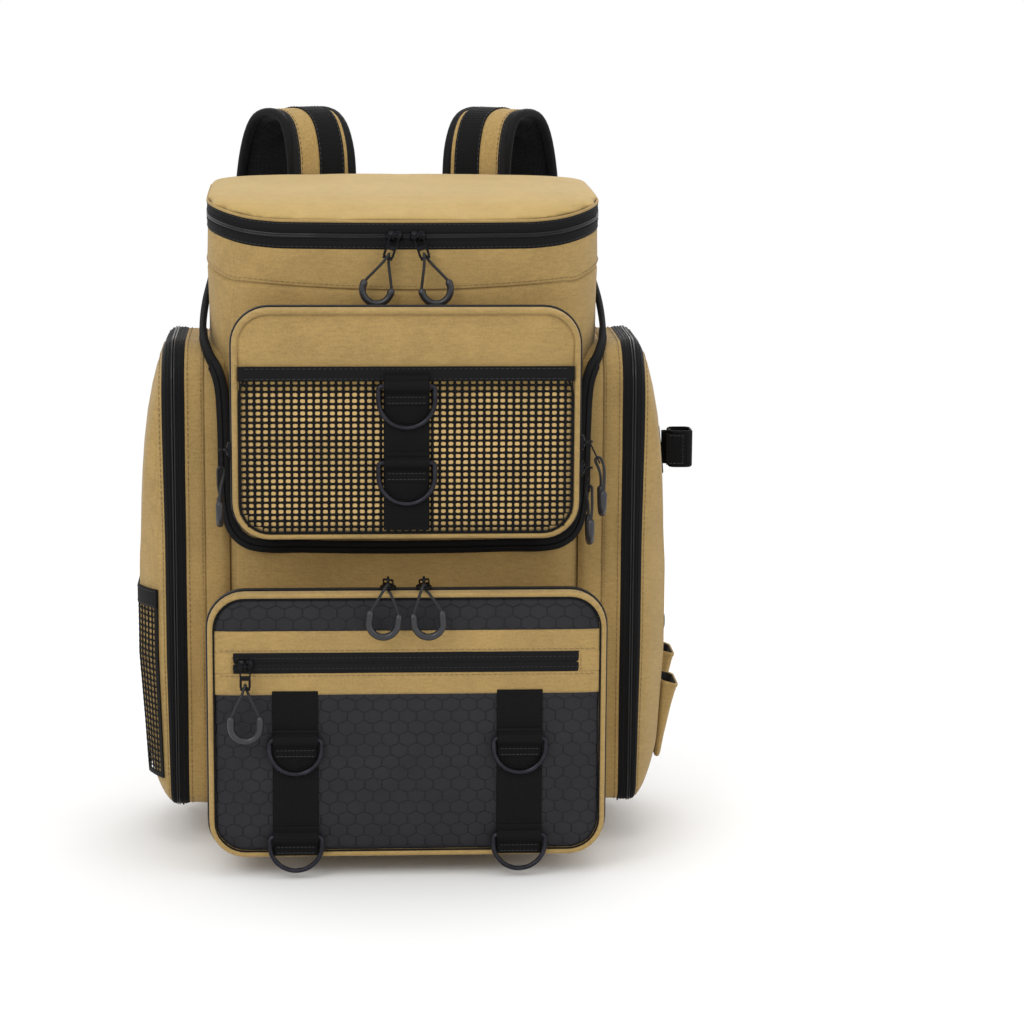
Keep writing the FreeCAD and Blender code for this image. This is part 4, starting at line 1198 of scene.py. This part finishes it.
def make_lower_pocket():
    """The lower pocket: its side, zip, piping, face, tan strips, small zip and two webbings."""
    low, high = box_mm("lower_panel")
    box = (low.x, high.x, low.z, high.z)
    seam, face = -high.y, -low.y
    shape = Shape()
    profile = [(0.6, seam - d, 0.2 * d) for d in (76, 64, 52, 40, 28, 16, 8)]
    profile += [(0, seam - 5, 0.6), (0, seam - 0.6, 0), (2.6, seam - 0.6, 0), (3.2, seam - 5, 0.6),
                (3.4, seam - 40, 8), (3.4, seam - 76, 15.2)]
    ring_loft(shape, profile, box, wobble=1.3)
    shape.piece("lower_pocket_side", "pack", [tan], "tan_fabric", "lower_pocket_gusset")
    pocket_zip("lower_pocket", box, seam, "lower_door")

    rim = Shape()
    ring_loft(rim, [(3, seam + 0.4), (0.2, seam + 0.4), (0, seam + 2.5), (0.1, face - 4.5), (0.9, face - 3),
                    (3.2, face - 2.4), (6, face - 2.6), (6, face - 3.8), (3.4, face - 4), (3, seam + 2)],
              box)
    path, _ = loop_path(box, POCKET_CORNER, 2.3, face - 2.0, front)
    rim.tube(path, (0, -1, 0), 2.0, closed=True, sides=12)
    path, _ = loop_path(box, POCKET_CORNER, 4.7, face - 1.6, front)
    rim.tube(path, (0, -1, 0), 0.8, closed=True, sides=6, number=1)
    rim.piece("lower_pocket_piping", "lower_door", [tan, binding], "tan_fabric")

    def depth(u, v, edge):
        puff = 1 - math.exp(-max(0.0, edge) / 9)
        return face - 2.9 + 2.6 * puff + ripple((u, v, 9), 34, 0.5) * puff
    sheet = on_front(low.x + 4, high.x - 4, low.z + 4, high.z - 4, 24, depth, nu=72, nv=50)
    item = sheet.piece("lower_pocket_face", "lower_door", [hexes], "hex_fabric")
    thicken(item, 1.6)
    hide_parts("lower_panel")

    def surface(x, z):
        return depth(x, z, HALF_WIDTH - abs(x) - 4)

    def patch(u, v, edge):
        return surface(u, v) + 0.75 - 0.6 * math.exp(-max(0.0, edge) / 0.6)
    strips = Shape()
    for u0, u1, v0, v1, nu, nv in ((-146.5, 146.5, 174, 191, 90, 10), (-146.5, 146.5, 142, 159, 90, 10),
                                   (-146.5, -129, 157.5, 175.5, 8, 8), (127, 146.5, 157.5, 175.5, 8, 8)):
        on_front(u0, u1, v0, v1, 0.6, patch, nu=nu, nv=nv, shape=strips)
    item = strips.piece("lower_pocket_strips", "lower_door", [tan], "tan_fabric")
    thicken(item, 0.9)
    seams = Shape()
    for z in (176.2, 156.8):
        stitches(seams, [(x, -(surface(x, z) + 0.78), z) for x in range(-142, 143, 4)],
                 (0, -1, 0), 2.6, 1.5, 0.3)
    for x in (-131.5, 130.5):
        stitches(seams, [(x, -(surface(x, z) + 0.78), z) for z in range(158, 176, 3)],
                 (0, -1, 0), 2.2, 1.3, 0.28)
    seams.piece("lower_pocket_stitching", "lower_door", [tan_thread], "tan_fabric")

    zipper = Shape()
    for low_z, high_z in ((158.6, 166.05), (166.35, 174.4)):
        middle = (low_z + high_z) / 2
        path = [(x, -(surface(x, middle) + 0.1), middle) for x in range(-133, 132, 4)]
        half = (high_z - low_z) / 2
        section = [(-half, -0.4), (half, -0.4), (half, 0.2), (half - 0.5, 0.45), (half - 2, 0.5), (0, 0.55),
                   (2 - half, 0.5), (0.5 - half, 0.45), (-half, 0.2)]
        zipper.sweep(path, (0, -1, 0), section)
        stitches(zipper, [(x, y - 0.55, z) for x, y, z in path], (0, -1, 0), 2.2, 1.2, 0.16, number=1)
    zipper.piece("small_zip_tape", "lower_door", [tape, black_thread], "black_tape")
    for hand, side in ((-1, "left"), (1, "right")):
        make_webbing(f"lower_webbing_{side}", "lower_door", 84.5 * hand, 17, 146, face, (108, 32.5),
                     "lower_webbing" if hand < 0 else None)


def dress_rings():
    """The D-rings keep their CAD shape, with a plated finish."""
    for name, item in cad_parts.items():
        if "_ring_" in name:
            item.data.materials.clear()
            item.data.materials.append(ring_metal)
            item.data.shade_smooth()


make_body()
lid_tape("body_zip_half", "pack", "body_zip_tape", 469.5, 479.4, 479.0, 471.2)
lid_tape("lid_zip_half", "lid", "lid_zip_tape", 480.1, 490, 480.6, 488.4)
make_lid()
make_upper_pocket()
make_lower_pocket()
dress_rings()

# ---------------------------------------------------------------- side pockets

SIDE_FRONT, SIDE_BACK, SIDE_LOW, SIDE_TOP, SIDE_ROUND = -75, 65, 31, 394, 36
SIDE_SEAM, SIDE_FACE = 177, 211


def body_half_width(y):
    """Half the main compartment's width at a distance from front to back."""
    start = -32.6
    return 150.0 if y >= start else 100 + math.sqrt(max(0.0, 2500 - (y - start) ** 2))


def side_ring(place, depth, grow=0.0, wobble=0.0, inset=0.0):
    """The side pocket's outline at a distance from the middle plane; past its zip it draws in."""
    share = max(0.0, (depth - SIDE_SEAM) / (SIDE_FACE - SIDE_SEAM))
    draw = 28 * share ** 2.15 + inset
    low = SIDE_LOW + 26 * share ** 2.3 + inset
    high = SIDE_TOP - 162 * share ** 2.3 - inset
    row = []
    for u, v, nu, nv in rounded_loop(SIDE_FRONT + draw - grow, SIDE_BACK - draw + grow, low - grow,
                                     high + grow, SIDE_ROUND - draw / 2 + grow, foot=12 + draw / 2 + grow):
        lift = ripple((u, v, depth * 1.2), 42, wobble) if wobble else 0.0
        point = place(u + nu * lift, v + nv * lift, depth)
        if depth < 152:
            reach = max(abs(point.x), body_half_width(point.y) - 1.5)
            point.x = math.copysign(reach, point.x)
        row.append(point)
    return row


def cap_rows(ring, place, dome):
    """Rings that close a rounded outline towards its middle, rising a little."""
    middle = sum(ring, Vector()) / len(ring)
    lift = place(0, 0, 1) - place(0, 0, 0)
    rows = []
    for share in (0.96, 0.88, 0.76, 0.6, 0.42, 0.24, 0.1):
        rows.append([middle + (p - middle) * share + lift * (dome * (1 - share ** 2)
                     + ripple(middle + (p - middle) * share, 36, 0.8) * (1 - share)) for p in ring])
    return rows


def panel_section():
    """The side panel's surface in plan at mid height: points (u, depth) from its front round to its back."""
    points = []
    for i in range(26):
        u = SIDE_FRONT + 28 * (i / 25) ** 1.3
        share = ((u - SIDE_FRONT) / 28) ** (1 / 2.15)
        points.append((u, SIDE_SEAM + (SIDE_FACE - SIDE_SEAM) * share))
    points += [(-47 + 84 * i / 20, SIDE_FACE) for i in range(1, 21)]
    return points


def wrap_on_panel(base):
    """A placing function whose u runs along the side panel's surface, from a start near its front."""
    section = [Vector((u, d, 0)) for u, d in panel_section()]
    marks = [0.0]
    for a, b in zip(section, section[1:]):
        marks.append(marks[-1] + (b - a).length)

    def place(u, v, w):
        i = 0
        while i < len(marks) - 2 and marks[i + 1] < u:
            i += 1
        t = (u - marks[i]) / (marks[i + 1] - marks[i])
        spot = section[i].lerp(section[i + 1], t)
        ahead = section[min(i + 2, len(section) - 1)] - section[max(i - 1, 0)]
        away = Vector((-ahead.y, ahead.x, 0)).normalized()
        return base(spot.x + away.x * w, v, spot.y + away.y * w)
    return place


def stitch_round(shape, place, depth):
    """A line of stitches round the side pocket at a distance from the middle plane."""
    ring = side_ring(place, depth, 0.35)
    ring.append(ring[0])
    stitches(shape, ring, rim_normals(ring), 2.7, 1.6, 0.27)


def make_side_pocket(side, place):
    """One side pocket: its wall, both halves of its zip, its swinging panel, slider and tab."""
    shell = Shape()
    profile = [(9, 132), (3.5, 135), (1.0, 138), (0, 141.5), (0, 146), (0, 151.6), (0.3, 152.6), (1.3, 153.2),
               (0.2, 153.8), (-0.3, 155), (0, 160), (0, 166), (0, 171), (0, 176.4), (2.4, 176.4)]
    rows = [side_ring(place, d, wobble=0.7 if 138 < d < 170 else 0, inset=i) for i, d in profile]
    shell.grid(rows, around=True)
    inner = [side_ring(place, d, inset=i) for i, d in ((2.4, 176.4), (3.2, 168), (3.2, 153))]
    shell.grid(inner, around=True, number=1)
    shell.piece(f"{side}_pocket_wall", "pack", [tan, lining], "tan_fabric", f"{side}_pocket_shell")

    seams = Shape()
    for depth in (155.6, 165.9):
        stitch_round(seams, place, depth)
    seams.piece(f"{side}_pocket_stitching", "pack", [tan_thread], "tan_fabric")

    for half, body, near, far, teeth in (("fixed", "pack", 168.2, 176.7, 176.0),
                                         ("door", f"{side}_door", 177.2, 185.8, 177.9)):
        shape = Shape()
        rows = [side_ring(place, near, -1.0)]
        for i in range(7):
            crown = 0.15 + 0.65 * math.sin(math.pi * i / 6) ** 0.3
            rows.append(side_ring(place, near + (far - near) * i / 6, crown))
        rows.append(side_ring(place, far, -1.0))
        shape.grid(rows, around=True, closed=True)
        ring = side_ring(place, teeth, 1.0)
        shape.tube(ring, rim_normals(ring), 0.7, closed=True, sides=7, number=1)
        for ridge in (near + (far - near) * 0.36, near + (far - near) * 0.64):
            ring = side_ring(place, ridge, 0.75)
            shape.sweep(ring, rim_normals(ring), [(-0.5, 0), (0.5, 0), (0.3, 0.4), (-0.3, 0.4)],
                        closed=True)
        shape.piece(f"{side}_pocket_zip_{half}", body, [tape, coil], "black_tape")

    panel = Shape()
    depths = [177.3, 179, 182, 186, 190, 194, 198, 201.5, 204.5, 207, 209, 210.2, 210.9]
    rows = [side_ring(place, d, wobble=1.1 if 186 < d < 209 else 0) for d in depths]
    rows += cap_rows(rows[-1], place, 0.6)
    panel.grid(rows, around=True, caps=(False, True))
    inner = [side_ring(place, 177.3), side_ring(place, 177.3, -3)]
    inner += [side_ring(place, d - 3, -2.4) for d in (186, 196, 204, 209)]
    inner += cap_rows(inner[-1], place, 0.2)
    panel.grid(inner, around=True, caps=(False, True), number=1)
    panel.piece(f"{side}_pocket_panel", f"{side}_door", [tan, lining], "tan_fabric", f"{side}_panel")
    seams = Shape()
    stitch_round(seams, place, 187.8)
    seams.piece(f"{side}_panel_stitching", f"{side}_door", [tan_thread], "tan_fabric")

    hand = -1 if side == "left" else 1
    slider = Shape()
    spot = Matrix.Translation((hand * SIDE_SEAM, 20, SIDE_LOW))
    make_slider_shape(slider, spot @ turned(90, "X") @ turned(90, "Y"))
    slider.piece(f"{side}_side_zip_slider", f"{side}_side_slider", [slider_metal], "slider_metal",
                 f"{side}_side_slider")
    tab = Shape()
    pivot = Matrix.Translation((hand * SIDE_SEAM, 20, SIDE_LOW - PULL_REACH))
    make_tab_shape(tab, pivot @ turned(90, "Z"), 0)
    tab.piece(f"{side}_side_zip_tab", f"{side}_side_tab", [slider_metal], "slider_metal", f"{side}_side_tab")


def rim_normals(ring):
    """Outward directions of a ring that lies in a plane of constant x."""
    middle = Vector((0, sum(p.y for p in ring) / len(ring), sum(p.z for p in ring) / len(ring)))
    normals = []
    count = len(ring)
    for i, point in enumerate(ring):
        ahead = ring[(i + 1) % count] - ring[i - 1]
        if ahead.length < 1e-6:
            ahead = ring[(i + 2) % count] - ring[i - 1]
        out = Vector((0, ahead.z, -ahead.y)).normalized()
        if out.dot(Vector((0, point.y, point.z)) - middle) < 0:
            out = -out
        normals.append(out)
    return normals


def make_left_mesh():
    """The left pocket's slip pocket of netting, which wraps round the panel's front edge."""
    place = wrap_on_panel(left)
    start, foot, rim = 19.5, 52.5, 203
    make_net("side_net", "left_door", (start, 116, 55, 190), 8, 1.3, place, "left_mesh_pocket", (5.4, 4.6),
             0.3)
    shape = Shape()
    steps = [start - 1.5 + (117.5 - start + 1.5) * i / 36 for i in range(37)]
    for low, high, lift in ((188.5, rim, 2.3), (foot, 56.5, 1.9)):
        rows = []
        for u in steps:
            rows.append([place(u, low, 0.3), place(u, low, lift - 0.3), place(u, low + 0.8, lift),
                         place(u, high - 0.8, lift), place(u, high, lift - 0.3), place(u, high, 0.3)])
        shape.grid(rows, around=True, caps=(True, True))
    for low, high in ((start - 2.5, start + 1.2), (115, 118.5)):
        rows = []
        for i in range(30):
            v = foot + (rim - foot) * i / 29
            rows.append([place(low, v, 0.3), place(low, v, 1.9), place(high, v, 1.9), place(high, v, 0.3)])
        shape.grid(rows, around=True, caps=(True, True))
    for v in (190, 201.4):
        outs = [(place(u, v, 3) - place(u, v, 2)).normalized() for u in steps]
        stitches(shape, [place(u, v, 2.35) for u in steps], outs, 2.4, 1.3, 0.25, number=1)
    shape.piece("side_net_binding", "left_door", [binding, black_thread], "black_tape")


def make_bellows_and_painted_shade():
    """The black band that runs down beside the upper pocket and across under it. Under the pocket it is partly
    black fabric and partly painted shade.
    """
    side = [(148.4, -15, 443), (152.6, -28, 427), (155, -40, 410), (154.5, -55, 397), (150, -70, 386),
            (143.5, -80, 375), (139.8, -82, 360), (138.4, -82, 330), (138, -82, 300), (136.5, -82, 272),
            (132, -84, 254), (121, -88, 244), (104, -90, 241)]
    # The run across under the upper pocket is partly painted shade: a black band where the pocket's shade
    # falls.
    across = [(x, -bow_depth(x) - 1.2, 240.5) for x in (-80, -40, 0, 40, 80)]
    path = smooth_path([(-x, y, z) for x, y, z in side] + across + side[::-1], 5)
    outs = []
    for p in path:
        sideways = max(-1.0, min(1.0, p.x / HALF_WIDTH)) ** 3 * (1.4 if p.z > 380 else 0.3)
        outs.append(Vector((sideways, -1 if p.z < 400 else -0.6, 0)))
    shape = Shape()
    shape.sweep(path, outs, [(-4.8, -2.5), (4.8, -2.5), (5.0, 0.2), (3.4, 1.3), (0.8, 1.5), (0, 0.7),
                             (-0.8, 1.5), (-3.4, 1.3), (-5.0, 0.2)])
    shape.piece("body_zip_band_and_painted_shade", "pack", [tape], "black_tape")


SLEEVES = (-44, -6, 122), (-2, 34, 137)     # front, back and top of each rod sleeve


def make_rod_pieces():
    """On the right: two rod sleeves, two small webbing loops and the rod keeper."""
    shape = Shape()
    for y0, y1, top in SLEEVES:

        def ring(z, grow, tilt=0.0):
            share = max(0.0, (z - 58) / (top - 58))
            reach = 8 + 10.2 * share ** 1.2
            row = []
            for a, b, na, nb in rounded_loop(211.4 - grow, 211 + reach + grow, y0 + 4 * (1 - share) - grow,
                                             y1 - 4 * (1 - share) + grow, 5.5):
                lift = ripple((a, b, z), 16, 0.5) if 60 < z < top - 6 else 0.0
                droop = tilt * (a - 211) / 18
                row.append(Vector((a + na * lift, b + nb * lift, z - droop)))
            return row
        rows = [ring(57, -3), ring(58, -1), ring(61, 0)]
        rows += [ring(60 + (top - 60) * k / 8, 0, 4 * k / 8) for k in range(1, 8)]
        rows += [ring(top - 3.4, 0, 4), ring(top - 3.2, 0.7, 4), ring(top - 0.8, 0.8, 4), ring(top, 0.2, 4),
                 ring(top - 0.6, -1.2, 4)]
        shape.grid(rows, around=True, caps=(True, False))
        inner = [ring(top - 0.6, -1.2, 4), ring(top - 20, -1.6, 4), ring(66, -1.6), ring(62, -3)]
        shape.grid(inner, around=True, caps=(False, True), number=1)
    shape.piece("rod_sleeve_pair", "right_door", [tan, lining], "tan_fabric", "rod_sleeves")
    marks = Shape()
    for y0, y1, top in SLEEVES:
        out = 220.3 + 9.6 * ((top - 64) / (top - 58)) ** 1.2
        stitches(marks, [(out, y, top - 10.2) for y in range(y0 + 5, y1 - 4, 3)], (1, 0, 0), 2.2, 1.4, 0.3)
    marks.piece("rod_sleeve_stitching", "right_door", [tan_thread], "tan_fabric")

    loops = Shape()
    for low, high, y in ((176, 202, 22), (148, 174, 2)):
        middle = (low + high) / 2
        path = [(210.6, y, high - 1), (213, y, high - 2.2), (216.6, y, middle + 6), (217.3, y, middle),
                (216.6, y, middle - 6), (213, y, low + 2.2), (210.6, y, low + 1)]
        path = smooth_path(path, 5)
        outs = [Vector((0, 1, 0)).cross(direction(path, i)).normalized() for i in range(len(path))]
        outs = [out if out.x >= 0 else -out for out in outs]
        loops.sweep(path, outs, strip(15.4, 1.5, -1.5))
        for z in (high + 1.5, low - 1.5):
            loops.sweep([(211.2, y, z - 3), (211.9, y, z), (211.2, y, z + 3)], (1, 0, 0), strip(15.4, 1.2))
    loops.piece("side_webbing_loops", "right_door", [webbing], "black_webbing", "side_loops")

    keeper = Shape()
    loop = rounded_loop(212.2, 229.9, -10.8, 10.8, 5)
    path = [(a, b, 302) for a, b, _, _ in loop]
    outs = [Vector((na, nb, 0)) for _, _, na, nb in loop]
    keeper.sweep(path, outs, strip(29.4, 2.0, -1.1), closed=True)
    keeper.sweep([(206.8, 0, 302), (209, 0.4, 302), (211.6, 0, 302)], (0, -1, 0), strip(27, 2.6, -1.3))
    keeper.sweep([(209.5, -11.7, 302), (214, -12.6, 302), (225, -12.7, 302)], (0, -1, 0),
                 strip(25, 1.3, -0.8))
    for z in (291, 313):
        stitches(keeper, [(x, -13.25, z) for x in range(211, 226, 2)], (0, -1, 0), 2.0, 1.0, 0.3, number=1)
    stitches(keeper, [(222.5, -13.25, z) for z in range(291, 314, 2)], (0, -1, 0), 2.0, 1.0, 0.3, number=1)
    keeper.piece("rod_keeper_loop", "rod_keeper", [webbing, black_thread], "black_webbing", "rod_strap")
    patch = Shape()
    slab(patch, -12, 12, 283, 321, 205.2, 207.0, lambda u, v, w: right(u, v, w - (v - 302) * 0.16))
    patch.piece("rod_keeper_patch", "right_door", [webbing], "black_webbing")


# ---------------------------------------------------------------- straps, back and handle

STRAP_POINTS = [(-62, 81.5, 440), (-62, 81.5, 500), (-64, 86, 534), (-71, 100, 555), (-85, 119, 560.5),
                (-98, 137, 551), (-105, 147, 518), (-108, 150, 465), (-108, 148, 390), (-108, 141, 310),
                (-108, 129, 230), (-108, 114, 165)]
STRAP_YAWS = [0, 0, 8, 20, 30, 30, 20, 8, 0, 0, 0, 0]


def strap_stations():
    """Along the left strap: each place, its direction across, and its outward direction."""
    per_run = 5
    middle = smooth_path(STRAP_POINTS, per_run)
    yaws = smooth_path([(yaw, 0, 0) for yaw in STRAP_YAWS], per_run)
    stations = []
    for i, point in enumerate(middle):
        ahead = direction(middle, i)
        yaw = math.radians(yaws[i].x)
        across = Vector((math.cos(yaw), math.sin(yaw), 0))
        across = (across - ahead * across.dot(ahead)).normalized()
        stations.append((point, across, across.cross(ahead).normalized()))
    return stations


def make_shoulder_strap(side):
    """A padded strap with its webbing, bindings and stitches, and the webbing that tightens it."""
    hand = 1 if side == "left" else -1
    mirror = Vector((hand, 1, 1))
    stations = [(p * mirror, a * mirror, o * mirror) for p, a, o in strap_stations()]
    half, thick = 26.8, 3.0
    section = [(-half, 0), (-half + 1.2, -thick * 0.7), (-half + 5, -thick), (0, -thick * 1.1),
               (half - 5, -thick), (half - 1.2, -thick * 0.7), (half, 0), (half - 1.2, thick * 0.7),
               (half - 5, thick), (0, thick * 1.1), (5 - half, thick), (1.2 - half, thick * 0.7)]
    shape = Shape()
    shape.grid([[p + a * u + o * w for u, w in section] for p, a, o in stations], around=True,
               caps=(True, True))
    item = shape.piece(f"{side}_strap_pad", None, [air_mesh, tan], "tan_fabric")
    simulate(item, voxel=4, cap=2.4)
    item.data.materials.clear()
    for material in (air_mesh, strap_face):
        item.data.materials.append(material)

    def measured(spot):
        """How far across the strap and out of it a place is, from the nearest station."""
        p, a, o = min(stations, key=lambda station: (station[0] - spot).length_squared)
        return (spot - p).dot(a), (spot - p).dot(o)

    for face in item.data.polygons:
        across, away = measured(face.center / MM)
        face.material_index = 1 if away > 0 or abs(across) > half - 5.5 else 0
    values = item.data.attributes.new("across", "FLOAT", "POINT").data
    for vertex, value in zip(item.data.vertices, values):
        value.value = measured(vertex.co / MM)[0]
    tree = BVHTree.FromPolygons([v.co / MM for v in item.data.vertices],
                                [tuple(f.vertices) for f in item.data.polygons])

    def laid(low, high, lift, thickness):
        """A band laid on the swollen pad between two distances across it."""
        rows = []
        for p, a, o in stations[1:-1]:
            row = []
            for k in range(6):
                u = low + (high - low) * k / 5
                hit = tree.ray_cast(p + a * u + o * 24, -o, 40)[0]
                row.append((hit if hit is not None else p + a * u + o * 4) + o * lift)
            rows.append(row + [q - o * thickness for q in reversed(row)])
        return rows
    outs = [o for _, _, o in stations[1:-1]]
    web = Shape()
    web.grid(laid(-1.8, 18.2, 0.9, 1.5), around=True, caps=(True, True))
    for u, lift, radius in ((-0.6, 1.0, 0.28), (17.0, 1.0, 0.28), (-15.6, 0.05, 0.26), (-18.0, 0.05, 0.26)):
        stitches(web, [row[0] for row in laid(u, u, lift, 1)], outs, 2.6, 1.5, radius, number=1)
    for sign in (-1, 1):
        rows = []
        for p, a, o in stations:
            middle = p + a * (sign * (half - 3.2)) - o * 1.0
            rows.append([middle + a * u + o * w for u, w in oval(4.0, 3.6, 14)])
        web.grid(rows, around=True, caps=(True, True), number=2)
    web.piece(f"{side}_strap_webbing_stripe", "pack", [webbing, black_thread, binding], "black_webbing")
    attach(item, "pack")
    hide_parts(f"{side}_shoulder_strap")
    low = Shape()
    route = [(-108, 112.5, 121), (-112, 108, 100), (-118, 100, 70), (-122, 93, 48), (-124, 84, 34),
             (-125, 77.5, 18)]
    path = smooth_path([(hand * x, y, z) for x, y, z in route], 5)
    low.sweep(path, (0, 1, 0.2), strip(24.6, 1.7, -0.85))
    fold = smooth_path([(hand * -108, 111.4, 122), (hand * -108, 116.4, 127), (hand * -108, 117.2, 143),
                        (hand * -108, 115.4, 153), (hand * -108, 112.2, 160), (hand * -108, 112.5, 170)], 4)
    low.sweep(fold, (0, 1, 0.05), strip(24.6, 1.6, -0.8))
    low.piece(f"{side}_adjusting_webbing", "pack", [webbing], "black_webbing",
              "strap_webbing" if side == "left" else None)


def make_back():
    """The back panel with its binding, and two quilted cushions on it."""
    low, high = box_mm("back_panel")
    box = (low.x, high.x, low.z, high.z)
    shape = Shape()
    profile = [(3, low.y - 0.4), (0.3, low.y + 0.6), (0, low.y + 2.5), (0.6, high.y - 1.6),
               (2.6, high.y - 0.5), (7, high.y - 0.2)]
    rows = [loop_path(box, 22, inset, depth, behind)[0] for inset, depth in profile]
    rim_row = rows[-1]
    middle = sum(rim_row, Vector()) / len(rim_row)
    for share in (0.9, 0.7, 0.5, 0.3, 0.12):
        rows.append([middle + (p - middle) * share + Vector((0, ripple(p * share, 40, 0.5), 0))
                     for p in rim_row])
    shape.grid(rows, around=True, caps=(True, True))
    shape.piece("back_fabric", "pack", [lining], "air_mesh", "back_panel")
    rim = Shape()
    path, _ = loop_path(box, 22, 1.4, 0, behind)
    path = [Vector((p.x, high.y - 1.8, p.z)) for p in path]
    rim.tube(path, (0, 1, 0), 2.3, closed=True, sides=10)
    rim.piece("back_binding", "pack", [binding], "black_tape")
    low, high = box_mm("back_pads")
    for hand, side in ((-1, "left"), (1, "right")):
        pad = Shape()
        inner, outer = 24.5, high.x - 2.5
        box = (*sorted((hand * inner, hand * outer)), low.z + 2, high.z - 2)
        profile = ((8, 0.5), (1, 0.7), (0, 3), (0.4, 6), (3, 8.6), (8, 9.6), (16, 10))
        pad.grid([loop_path(box, 26, inset, low.y + depth, behind)[0] for inset, depth in profile],
                 around=True, caps=(True, True))
        item = pad.piece(f"{side}_back_cushion", None, [air_mesh], "air_mesh")
        simulate(item, voxel=5, cap=3.2)
        for vertex in item.data.vertices:
            spot = vertex.co / MM
            if spot.y > low.y + 4:
                for channel in (150, 240, 330):
                    bend = channel - 10 * (abs(spot.x) - 75) / 50
                    vertex.co.y -= 5.2 * MM * math.exp(-((spot.z - bend) / 3.6) ** 2)
        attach(item, "pack")
        if hand < 0:
            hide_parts("back_pads")


def make_handle():
    """The grab handle: a soft loop with a rubber sleeve, and the patches that hold it."""
    low, high = box_mm("grab_handle")
    y, top, bottom, half = (low.y + high.y) / 2, high.z, low.z + 5, 27
    route = [(-half, y, top - 0.5), (-half, y, top - 14), (-half, y, bottom + 16),
             (-half + 9, y, bottom + 2.5),
             (-10, y, bottom), (10, y, bottom), (half - 9, y, bottom + 2.5), (half, y, bottom + 16),
             (half, y, top - 14), (half, y, top - 0.5)]
    path = smooth_path(route, 5)
    shape = Shape()
    shape.sweep(path, (0, 1, 0), oval(4.7, 4.2, 16))
    shape.sweep([p for p in path if p.z < bottom + 3], (0, 1, 0), oval(5.2, 4.8, 16), number=1)
    shape.piece("handle_webbing", "handle", [webbing, grip_rubber], "black_webbing", "grab_handle")
    patch = Shape()
    for hand in (-1, 1):
        slab(patch, hand * half - 8, hand * half + 8, top - 12, top + 14, high.y - 13.2, high.y - 10.4,
             behind)
    patch.piece("handle_patches", "pack", [webbing], "black_webbing")


def dress_locks():
    """The ladder locks keep their CAD shape, with softened edges and a plastic finish."""
    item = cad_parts["ladder_locks"]
    item.data.materials.clear()
    item.data.materials.append(plastic)
    edge = item.modifiers.new("soft_edges", "BEVEL")
    edge.width = 0.7 * MM
    edge.segments = 2


make_side_pocket("left", left)
make_side_pocket("right", right)
make_left_mesh()
make_bellows_and_painted_shade()
make_rod_pieces()
for strap_side in ("left", "right"):
    make_shoulder_strap(strap_side)
make_back()
make_handle()
dress_locks()
